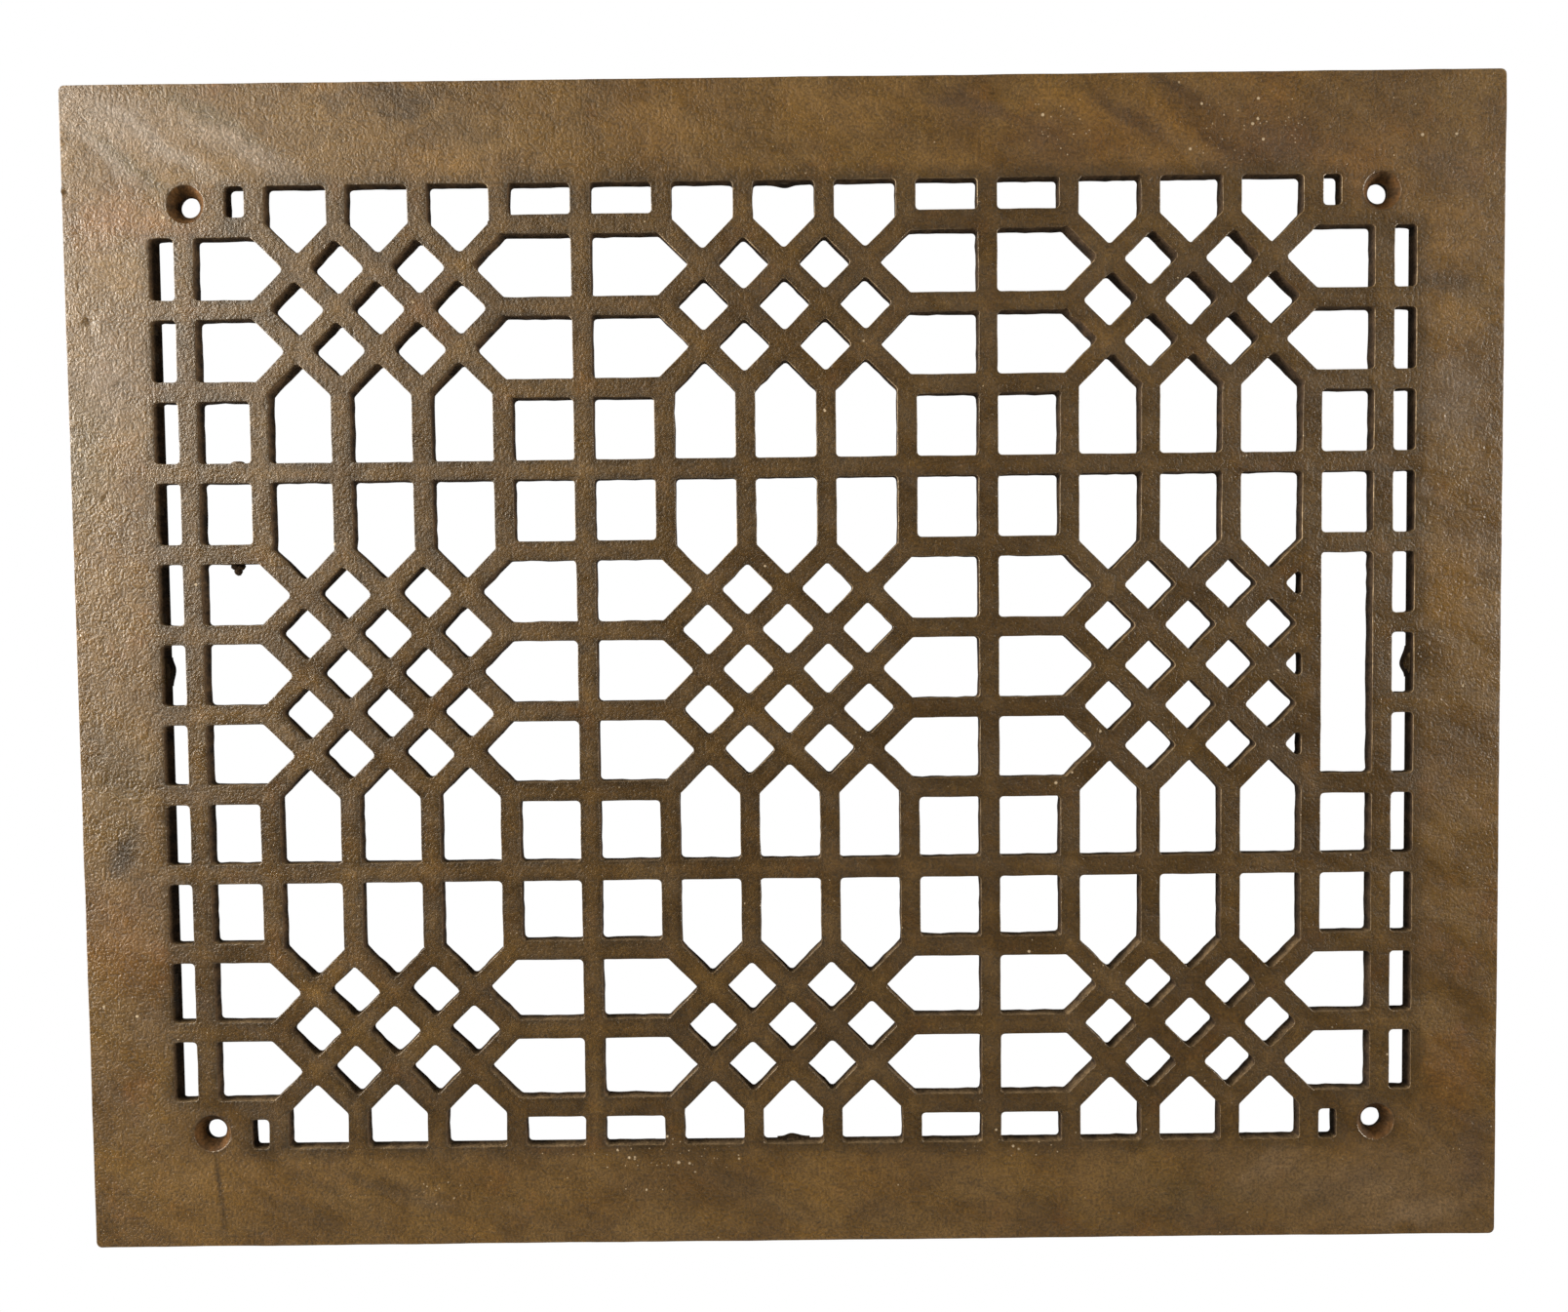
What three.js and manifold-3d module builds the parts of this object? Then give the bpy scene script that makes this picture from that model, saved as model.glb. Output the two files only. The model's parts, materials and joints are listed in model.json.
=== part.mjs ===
// Cast iron return air grille: one flat casting with a pierced lattice, a plain border and a low rim behind.
// Millimetres. +X is right and +Z is up as the grille stands in a wall; its front looks towards -Y.
// The origin is the middle of the grille, in the plane of the border's back, which bears on the wall.

import * as THREE from 'three';
import { mergeVertices } from 'three/addons/utils/BufferGeometryUtils.js';
import Module from 'manifold-3d';

// Lattice of straight and slanting bars. Bars lie on a square net whose step is half the pitch.
const PITCH = 24.55;
const BAR_WIDTH = 6.2;
const BAR_ARRIS = 0.35;
const DRAFT_DEG = 2;

// Medallions of crossed slanting bars. Reaches and spans are counted in steps of the net.
const MEDALLION_REACH = 3;
const MIDDLE_ROW_REACH = 3;
const END_ROW_REACH = 2;
const LINK_SPAN = 2;

// Space between the lattice's last bars and the border
const SIDE_BAY = 21.6;
const SIDE_SLOT_WIDTH = 6.4;
const END_BAY = 12.1;
const CORNER_SLOT_WIDTH = 5.2;

// Border, which is the flange that covers the edge of the wall's opening
const PLATE_THICKNESS = 5.2;
const SIDE_BORDER = 26.8;
const END_BORDER = 30.9;
const CORNER_RADIUS = 2;
const PLATE_ARRIS = 0.7;

// Low rim on the back, round the pierced field, with a rounded lug in the middle of each side
const RIM_DEPTH = 1.3;
const RIM_WALL = 3.2;
const LUG_LENGTH = 9.6;
const LUG_RISE = 1.5;
const LUG_DEPTH = 4;

// Countersunk screw holes in the corner webs, set in from the field's edges
const SCREW_BORE = 6;
const COUNTERSINK_DIAMETER = 11.1;
const COUNTERSINK_ANGLE_DEG = 82;
const SCREW_FROM_SIDE = 10.5;
const SCREW_FROM_END = 5;

// Lump of cast metal left on the underside of one bar, at the left
const LUMP_RADIUS = 1.35;
const LUMP_SPREAD = 0.85;
const LUMP_SINK = 0.4;
const LUMP_DROP = 1.4;
const LUMP_FROM_SIDE_BAR = 12.6;
const LUMP_FROM_BACK = 1.6;

// Fineness of the round forms, and how far cuts run past what they cut
const CORNER_FACETS = 3;
const LUG_FACETS = 10;
const SCREW_FACETS = 20;
const LUMP_FACETS = 8;
const PAST = 1;
const EMBED = 1.5;

const wasm = await Module();
wasm.setup();

const STEP = PITCH / 2;
const HALF_BAR = BAR_WIDTH / 2;
const DRAFT = Math.tan(THREE.MathUtils.degToRad(DRAFT_DEG));

// Steps from the middle of the grille to the medallions' middles, the linking bars and the last bars
const COLUMN_SPACING = 2 * (MEDALLION_REACH + LINK_SPAN);
const ROW_SPACING = MIDDLE_ROW_REACH + 2 * LINK_SPAN + END_ROW_REACH;
const LAST_UPRIGHT = COLUMN_SPACING + MEDALLION_REACH;
const LAST_CROSS_BAR = ROW_SPACING + END_ROW_REACH;

// Half sizes of the field and of the whole plate
const SIDE_BAR_X = LAST_UPRIGHT * STEP + SIDE_BAY;
const FIELD_X = SIDE_BAR_X + HALF_BAR + SIDE_SLOT_WIDTH;
const FIELD_Z = LAST_CROSS_BAR * STEP + END_BAY;
const PLATE_X = FIELD_X + SIDE_BORDER;
const PLATE_Z = FIELD_Z + END_BORDER;
const FRONT = -PLATE_THICKNESS;

// Turns a closed geometry into a solid that can be joined and cut.
function solid(geometry) {
  geometry.deleteAttribute('normal');
  geometry.deleteAttribute('uv');
  const merged = mergeVertices(geometry);
  return new wasm.Manifold(new wasm.Mesh({
    numProp: 3,
    vertProperties: Float32Array.from(merged.attributes.position.array),
    triVerts: Uint32Array.from(merged.index.array),
  }));
}

// Joins outlines of equally many points at rising depths. Outlines run anticlockwise, seen from the front.
function loft(rings) {
  const count = rings[0].outline.length;
  const contour = rings[0].outline.map(([x, z]) => new THREE.Vector2(x, z));
  const caps = THREE.ShapeUtils.triangulateShape(contour, []);
  const last = (rings.length - 1) * count;
  const index = caps.flatMap(([a, b, c]) => [a, b, c, last + a, last + c, last + b]);
  for (let start = 0; start < last; start += count) {
    for (let k = 0; k < count; k++) {
      const here = start + k;
      const next = start + (k + 1) % count;
      index.push(here, next + count, next, here, here + count, next + count);
    }
  }
  const geometry = new THREE.BufferGeometry();
  const points = rings.flatMap(({ depth, outline }) => outline.flatMap(([x, z]) => [x, depth, z]));
  geometry.setAttribute('position', new THREE.Float32BufferAttribute(points, 3));
  geometry.setIndex(index);
  return solid(geometry);
}

// A rectangle about the origin with rounded corners.
function roundedRectangle(halfX, halfZ, radius) {
  const outline = [];
  for (let corner = 0; corner < 4; corner++) {
    const sideX = corner === 0 || corner === 3 ? 1 : -1;
    const sideZ = corner < 2 ? 1 : -1;
    for (let k = 0; k <= CORNER_FACETS; k++) {
      const angle = (corner + k / CORNER_FACETS) * Math.PI / 2;
      const x = sideX * (halfX - radius) + radius * Math.cos(angle);
      const z = sideZ * (halfZ - radius) + radius * Math.sin(angle);
      outline.push([x, z]);
    }
  }
  return outline;
}

// Where two lines meet; each holds the points whose product with its normal is its offset.
function meeting(first, second) {
  const cross = first.nx * second.nz - first.nz * second.nx;
  const x = (first.offset * second.nz - second.offset * first.nz) / cross;
  const z = (second.offset * first.nx - first.offset * second.nx) / cross;
  return [x, z];
}

// An opening's outline, from the corners of its bars' centre lines. Insets give half the bar along each side,
// from each corner to the next, and grow widens the whole outline.
function openingOutline(corners, insets, grow) {
  const sides = corners.map(([x, z], k) => {
    const [nextX, nextZ] = corners[(k + 1) % corners.length];
    const length = Math.hypot(nextX - x, nextZ - z);
    const nx = (nextZ - z) / length;
    const nz = (x - nextX) / length;
    return { nx, nz, offset: nx * x + nz * z - insets[k] + grow };
  });
  return sides.map((side, k) => meeting(sides.at(k - 1), side));
}

// The body that one opening takes out: a broken front arris, and walls that draw back at the draft angle.
function openingCut({ corners, insets }) {
  const ring = (depth, grow) => ({ depth, outline: openingOutline(corners, insets, grow) });
  const back = RIM_DEPTH + PAST;
  return loft([
    ring(FRONT - PAST, BAR_ARRIS + PAST),
    ring(FRONT + BAR_ARRIS, 0),
    ring(back, (back - FRONT - BAR_ARRIS) * DRAFT),
  ]);
}

// A line of the net, or another line, with the half width of the bar that lies on it.
const bar = (place) => ({ place, half: HALF_BAR });
const edge = (place) => ({ place, half: 0 });
const netBar = (steps) => bar(steps * STEP);

// A rectangular opening between two uprights and two cross lines.
function rectangle(left, right, low, high) {
  const corners = [
    [left.place, low.place],
    [right.place, low.place],
    [right.place, high.place],
    [left.place, high.place],
  ];
  return { corners, insets: [low.half, right.half, high.half, left.half] };
}

// Swaps an opening's two axes and keeps its outline anticlockwise.
function transposed({ corners, insets }) {
  const swapped = corners.map(([x, z]) => [z, x]).reverse();
  return { corners: swapped, insets: [...insets.slice(0, -1).reverse(), insets.at(-1)] };
}

// Turns an opening upside down, or left for right, and keeps its outline anticlockwise.
function mirrored({ corners, insets }, signX, signZ) {
  if (signX * signZ > 0) {
    return { corners: corners.map(([x, z]) => [signX * x, signZ * z]), insets };
  }
  const flipped = corners.map(([x, z]) => [signX * x, signZ * z]).reverse();
  return { corners: flipped, insets: [...insets.slice(0, -1).reverse(), insets.at(-1)] };
}

// A house-shaped opening above a crossing of slanting bars, up to the line at its far end.
function housePointingDown(tipX, tipZ, far) {
  const corners = [
    [tipX, tipZ],
    [tipX + STEP, tipZ + STEP],
    [tipX + STEP, far.place],
    [tipX - STEP, far.place],
    [tipX - STEP, tipZ + STEP],
  ];
  return { corners, insets: [HALF_BAR, HALF_BAR, far.half, HALF_BAR, HALF_BAR] };
}

// House-shaped openings that leave a medallion sideways or upright, with their points at its crossings.
// Sign is 1 towards the right or the top.
function houseAcross(tipX, tipZ, far, sign) {
  const ahead = { place: sign * far.place, half: far.half };
  const opening = transposed(housePointingDown(tipZ, sign * tipX, ahead));
  return sign > 0 ? opening : mirrored(opening, -1, 1);
}

function houseUpright(tipX, tipZ, far, sign) {
  const ahead = { place: sign * far.place, half: far.half };
  const opening = housePointingDown(tipX, sign * tipZ, ahead);
  return sign > 0 ? opening : mirrored(opening, 1, -1);
}

// A diamond between four slanting bars.
function diamond(x, z) {
  const corners = [[x + STEP, z], [x, z + STEP], [x - STEP, z], [x, z - STEP]];
  return { corners, insets: corners.map(() => HALF_BAR) };
}

// Half of a diamond, shut by the upright on its right.
function halfDiamond(x, z) {
  const corners = [[x, z + STEP], [x - STEP, z], [x, z - STEP]];
  return { corners, insets: corners.map(() => HALF_BAR) };
}

// Every second whole number from low to high
function everySecond(low, high) {
  return Array.from({ length: Math.floor((high - low) / 2) + 1 }, (_, k) => low + 2 * k);
}

// The far line of an opening that leaves a medallion: the linking bar, or the last line of the lattice
function farAcross(column, sign) {
  const steps = column + sign * (MEDALLION_REACH + LINK_SPAN);
  return Math.abs(steps) > LAST_UPRIGHT ? bar(sign * SIDE_BAR_X) : netBar(steps);
}

function farUpright(row, reach, sign) {
  const steps = row + sign * (reach + LINK_SPAN);
  return Math.abs(steps) > LAST_CROSS_BAR ? edge(sign * FIELD_Z) : netBar(steps);
}

// The openings of one medallion, whose middle is at the given steps. A medallion beside the lever slot has
// its right side shut by an upright.
function medallion(column, row, rowReach, besideLever) {
  const openings = [];
  for (let u = 1 - MEDALLION_REACH; u < MEDALLION_REACH; u++) {
    for (let v = 1 - rowReach; v < rowReach; v++) {
      if ((u + v + MEDALLION_REACH + rowReach) % 2 !== 0) {
        openings.push(diamond((column + u) * STEP, (row + v) * STEP));
      }
    }
  }
  for (const sign of [-1, 1]) {
    for (const u of everySecond(1 - MEDALLION_REACH, MEDALLION_REACH - 1)) {
      const tipZ = (row + sign * (rowReach - 1)) * STEP;
      openings.push(houseUpright((column + u) * STEP, tipZ, farUpright(row, rowReach, sign), sign));
    }
    for (const v of everySecond(1 - rowReach, rowReach - 1)) {
      const tipX = (column + sign * (MEDALLION_REACH - 1)) * STEP;
      if (besideLever && sign > 0) {
        openings.push(halfDiamond((column + MEDALLION_REACH) * STEP, (row + v) * STEP));
      } else {
        openings.push(houseAcross(tipX, (row + v) * STEP, farAcross(column, sign), sign));
      }
    }
  }
  return openings;
}

// The pairs of neighbouring lines in a list
const spans = (lines) => lines.slice(1).map((line, k) => [lines[k], line]);

// Square openings beside and between the medallions
function plainCells() {
  const linkSteps = [MEDALLION_REACH, MEDALLION_REACH + LINK_SPAN, MEDALLION_REACH + 2 * LINK_SPAN];
  const rowSteps = [MIDDLE_ROW_REACH, MIDDLE_ROW_REACH + LINK_SPAN, MIDDLE_ROW_REACH + 2 * LINK_SPAN];
  const betweenColumns = spans(linkSteps.map(netBar));
  const betweenRows = spans(rowSteps.map(netBar));
  const besideLastUpright = [netBar(LAST_UPRIGHT), bar(SIDE_BAR_X)];
  const underBorder = [netBar(LAST_CROSS_BAR), edge(FIELD_Z)];
  const quarter = [];
  for (const [left, right] of [...betweenColumns, besideLastUpright]) {
    for (const [low, high] of betweenRows) {
      quarter.push(rectangle(left, right, low, high));
    }
  }
  for (const [left, right] of betweenColumns) {
    quarter.push(rectangle(left, right, ...underBorder));
  }
  const lastUprightFace = LAST_UPRIGHT * STEP + HALF_BAR;
  quarter.push(rectangle(netBar(LAST_UPRIGHT), edge(lastUprightFace + CORNER_SLOT_WIDTH), ...underBorder));
  const corners = [[1, 1], [-1, 1], [-1, -1], [1, -1]];
  return quarter.flatMap((cell) => corners.map(([signX, signZ]) => mirrored(cell, signX, signZ)));
}

// Narrow slots between the side bar and the border, one beside every cell of the lattice
function sideSlots() {
  const crossBars = everySecond(-LAST_CROSS_BAR, LAST_CROSS_BAR).map(netBar);
  const right = spans(crossBars).map(([low, high]) => rectangle(bar(SIDE_BAR_X), edge(FIELD_X), low, high));
  return right.flatMap((slot) => [slot, mirrored(slot, -1, 1)]);
}

// The tall slot for a damper's lever, in the middle of the right side
function leverSlot() {
  const cross = MIDDLE_ROW_REACH;
  return rectangle(netBar(LAST_UPRIGHT), bar(SIDE_BAR_X), netBar(-cross), netBar(cross));
}

function allOpenings() {
  const openings = [leverSlot(), ...plainCells(), ...sideSlots()];
  for (const column of [-COLUMN_SPACING, 0, COLUMN_SPACING]) {
    openings.push(...medallion(column, 0, MIDDLE_ROW_REACH, column === COLUMN_SPACING));
    openings.push(...medallion(column, ROW_SPACING, END_ROW_REACH, false));
    openings.push(...medallion(column, -ROW_SPACING, END_ROW_REACH, false));
  }
  return openings;
}

// The flat plate, with broken front edges
function plate() {
  const ring = (depth, inset) => ({
    depth,
    outline: roundedRectangle(PLATE_X - inset, PLATE_Z - inset, CORNER_RADIUS),
  });
  return loft([ring(FRONT, PLATE_ARRIS), ring(FRONT + PLATE_ARRIS, 0), ring(0, -FRONT * DRAFT)]);
}

// The low rim behind the plate
function rim() {
  const ring = (depth, inset) => ({
    depth,
    outline: roundedRectangle(FIELD_X + RIM_WALL - inset, FIELD_Z + RIM_WALL - inset, CORNER_RADIUS),
  });
  const block = loft([ring(-EMBED, 0), ring(0, 0), ring(RIM_DEPTH, RIM_DEPTH * DRAFT)]);
  const corners = [[FIELD_X, -FIELD_Z], [FIELD_X, FIELD_Z], [-FIELD_X, FIELD_Z], [-FIELD_X, -FIELD_Z]];
  const inside = (depth) => ({
    depth,
    outline: openingOutline(corners, corners.map(() => 0), (depth - FRONT) * DRAFT),
  });
  return { block, hollow: loft([inside(0), inside(RIM_DEPTH + PAST)]) };
}

// A lug that swells from the rim's inner side, in the middle of the side that faces the given way
function lug(inwardX, inwardZ, sideDistance) {
  const swell = Array.from({ length: LUG_FACETS + 1 }, (_, k) => {
    const along = (k / LUG_FACETS - 0.5) * LUG_LENGTH;
    return [along, LUG_RISE * (1 + Math.cos(2 * Math.PI * along / LUG_LENGTH)) / 2];
  });
  const profile = [...swell, [LUG_LENGTH / 2, -EMBED], [-LUG_LENGTH / 2, -EMBED]];
  const outline = profile.map(([along, inwards]) => [
    inwardX * (inwards - sideDistance) - inwardZ * along,
    inwardZ * (inwards - sideDistance) + inwardX * along,
  ]);
  return loft([{ depth: RIM_DEPTH - LUG_DEPTH, outline }, { depth: RIM_DEPTH, outline }]);
}

// A countersunk hole for a wood screw
function screwHole(x, z) {
  const bore = SCREW_BORE / 2;
  const head = COUNTERSINK_DIAMETER / 2;
  const slope = Math.tan(THREE.MathUtils.degToRad(COUNTERSINK_ANGLE_DEG / 2));
  const profile = [
    [0, RIM_DEPTH + PAST],
    [bore, RIM_DEPTH + PAST],
    [bore, FRONT + (head - bore) / slope],
    [head + PAST * slope, FRONT - PAST],
    [0, FRONT - PAST],
  ].map(([radius, depth]) => new THREE.Vector2(radius, -depth));
  const geometry = new THREE.LatheGeometry(profile, SCREW_FACETS);
  geometry.rotateX(Math.PI);
  geometry.translate(x, 0, z);
  return solid(geometry);
}

// The lump under the bar: two lobes side by side, and a third that hangs between them
function lump() {
  const x = LUMP_FROM_SIDE_BAR - SIDE_BAR_X;
  const z = MIDDLE_ROW_REACH * STEP - HALF_BAR;
  const lobe = (across, down) => {
    const geometry = new THREE.SphereGeometry(LUMP_RADIUS, LUMP_FACETS, LUMP_FACETS / 2);
    geometry.translate(x + across, -LUMP_FROM_BACK, z - down);
    return solid(geometry);
  };
  const upper = lobe(-LUMP_SPREAD, LUMP_SINK).add(lobe(LUMP_SPREAD, LUMP_SINK));
  return upper.add(lobe(0, LUMP_SINK + LUMP_DROP));
}

function grilleSolid() {
  const backRim = rim();
  let body = plate().add(backRim.block).subtract(backRim.hollow);
  for (const opening of allOpenings()) {
    body = body.subtract(openingCut(opening));
  }
  const screwX = FIELD_X - SCREW_FROM_SIDE;
  const screwZ = FIELD_Z - SCREW_FROM_END;
  for (const sign of [-1, 1]) {
    body = body.subtract(screwHole(sign * screwX, screwZ)).subtract(screwHole(sign * screwX, -screwZ));
    body = body.add(lug(-sign, 0, FIELD_X)).add(lug(0, -sign, FIELD_Z));
  }
  return body.add(lump());
}

function toGeometry(body) {
  const { vertProperties, triVerts } = body.getMesh();
  const geometry = new THREE.BufferGeometry();
  geometry.setAttribute('position', new THREE.BufferAttribute(vertProperties, 3));
  geometry.setIndex(new THREE.BufferAttribute(triVerts, 1));
  geometry.computeVertexNormals();
  return geometry;
}

const brownIron = new THREE.MeshStandardMaterial({
  color: 0x6f5638,
  roughness: 0.62,
  metalness: 0.55,
  flatShading: true,
});

const grille = new THREE.Mesh(toGeometry(grilleSolid()), brownIron);
grille.name = 'grille';

const part = new THREE.Group();
part.add(grille);

export default part;
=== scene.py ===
"""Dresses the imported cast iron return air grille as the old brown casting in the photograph.

The casting is one piece. Its plan is read from the CAD node, so every bar stays where the CAD has it; the
sheet of metal is then given its thickness, soft edges, back rim, lugs, screw holes and casting faults.
Lengths in the fields are millimetres, and every mesh is in metres.
"""

import json
import logging
import math
from dataclasses import dataclass, field
from enum import Enum
from typing import Callable, Sequence

import bmesh
import bpy
import numpy as np
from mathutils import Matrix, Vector, noise
from mathutils.geometry import delaunay_2d_cdt
from mathutils.kdtree import KDTree

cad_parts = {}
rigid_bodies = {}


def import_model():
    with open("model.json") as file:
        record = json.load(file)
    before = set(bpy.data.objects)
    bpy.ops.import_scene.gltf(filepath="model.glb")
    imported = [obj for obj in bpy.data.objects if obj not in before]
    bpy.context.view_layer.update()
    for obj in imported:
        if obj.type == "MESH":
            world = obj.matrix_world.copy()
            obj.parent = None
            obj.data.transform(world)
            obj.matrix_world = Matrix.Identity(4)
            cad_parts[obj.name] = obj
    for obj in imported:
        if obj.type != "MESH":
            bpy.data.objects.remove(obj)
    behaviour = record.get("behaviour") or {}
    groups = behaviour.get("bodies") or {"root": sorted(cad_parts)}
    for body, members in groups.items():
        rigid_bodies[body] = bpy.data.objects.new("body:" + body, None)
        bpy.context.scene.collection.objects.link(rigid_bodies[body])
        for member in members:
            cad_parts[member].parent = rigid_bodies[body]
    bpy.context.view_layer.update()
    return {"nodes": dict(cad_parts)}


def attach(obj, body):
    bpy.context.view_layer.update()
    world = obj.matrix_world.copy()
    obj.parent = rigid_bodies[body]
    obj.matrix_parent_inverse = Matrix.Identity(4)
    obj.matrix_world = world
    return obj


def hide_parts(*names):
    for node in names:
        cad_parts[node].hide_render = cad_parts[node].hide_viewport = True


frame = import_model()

LOG = logging.getLogger("grille")
MM = 0.001
NODE = "grille"
BODY = "root"
REACH = "reach_from_opening"
FAR = 1000.0
TOUCHING = 1e-6
EXACT = 1e-7


class Side(Enum):
    """The four sides of the plate, each as the way it faces in the plane of the wall."""

    LEFT = (-1.0, 0.0)
    RIGHT = (1.0, 0.0)
    TOP = (0.0, 1.0)
    BOTTOM = (0.0, -1.0)


def clear_selection() -> None:
    """Leaves nothing selected, so that the next operator acts on its own object only."""
    for each in bpy.context.view_layer.objects:
        each.select_set(False)


def make_active(piece: bpy.types.Object) -> None:
    """Selects one object and makes it the active one.

    Args:
        piece: The object that the next operators act on.
    """
    clear_selection()
    piece.select_set(True)
    bpy.context.view_layer.objects.active = piece


def apply_modifier(piece: bpy.types.Object, modifier: bpy.types.Modifier) -> None:
    """Applies one of a piece's modifiers to its mesh."""
    make_active(piece)
    bpy.ops.object.modifier_apply(modifier=modifier.name)


def layered_noise(spot: Vector, long: float, short: float, apart: float = 0.0) -> float:
    """Long waves with short ones of half their strength on them.

    Args:
        spot: Where they are read.
        long: The long waves' length.
        short: The short waves' length.
        apart: How far apart along z the two are read.

    Returns:
        The height.
    """
    return noise.noise(spot / long) + 0.5 * noise.noise((spot + Vector((0.0, 0.0, apart))) / short)


def join_solids(body: bpy.types.Object, other: bpy.types.Object, operation: str) -> None:
    """Adds a closed shape to a body or cuts it away, and removes the shape.

    Args:
        body: The solid that is kept.
        other: The closed shape that is added or cut away.
        operation: UNION or DIFFERENCE.
    """
    boolean = body.modifiers.new("join", "BOOLEAN")
    boolean.operation = operation
    boolean.solver = "MANIFOLD"
    boolean.object = other
    apply_modifier(body, boolean)
    bpy.data.objects.remove(other)


def finish_solid() -> None:
    """Turns every face of the piece in edit mode outwards and leaves edit mode."""
    bpy.ops.mesh.select_all(action="SELECT")
    bpy.ops.mesh.normals_make_consistent(inside=False)
    bpy.ops.object.mode_set(mode="OBJECT")


def plan_tree(places: np.ndarray) -> KDTree:
    """Readies points of the plan for finding the nearest one.

    Args:
        places: The points.

    Returns:
        The tree, which is asked with x, z and zero.
    """
    tree = KDTree(len(places))
    for k, (x, z) in enumerate(places):
        tree.insert((x, z, 0.0), k)
    tree.balance()
    return tree


@dataclass(frozen=True)
class Ageing:
    """How one zone of the iron shines and how grainy it is.

    Args:
        name: Its material's name.
        roughness: Its least and greatest roughness.
        specular: Its specular level.
        grain_range: The part of the grain's range that shows.
        grain: How much darker or paler the grain makes it.
        pores: How much darker or paler the pores make it.
    """

    name: str
    roughness: tuple[float, float]
    specular: float
    grain_range: tuple[float, float]
    grain: float
    pores: float


class Zone(Enum):
    """The three zones of the iron, each by how it has aged; the walls' zone also carries painted shade."""

    WORN = Ageing("worn_iron_face", (0.24, 0.47), 0.5, (0.32, 0.68), 0.36, 0.12)
    # The walls' zone: its colour is soot with painted shade.
    SOOTY_SHADED = Ageing("sooty_shaded_iron_wall", (0.72, 0.9), 0.12, (0.3, 0.7), 0.35, 0.2)
    RUSTED = Ageing("rusted_countersink", (0.72, 0.9), 0.12, (0.3, 0.7), 0.3, 0.15)


@dataclass(frozen=True)
class Cloud:
    """Soft noise that lies on the object.

    Args:
        size: Its size along x, y and z, in millimetres.
        detail: How many finer layers it has.
        roughness: How strong they are.
        swirl: How much it swirls.
        turn: Its turn in the plane of the front, in degrees.
        shift: Moves it, in units of its size.
    """

    size: tuple[float, float, float]
    detail: float = 4.0
    roughness: float = 0.65
    swirl: float = 0.0
    turn: float = 0.0
    shift: tuple[float, float, float] = (0.0, 0.0, 0.0)


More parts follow.
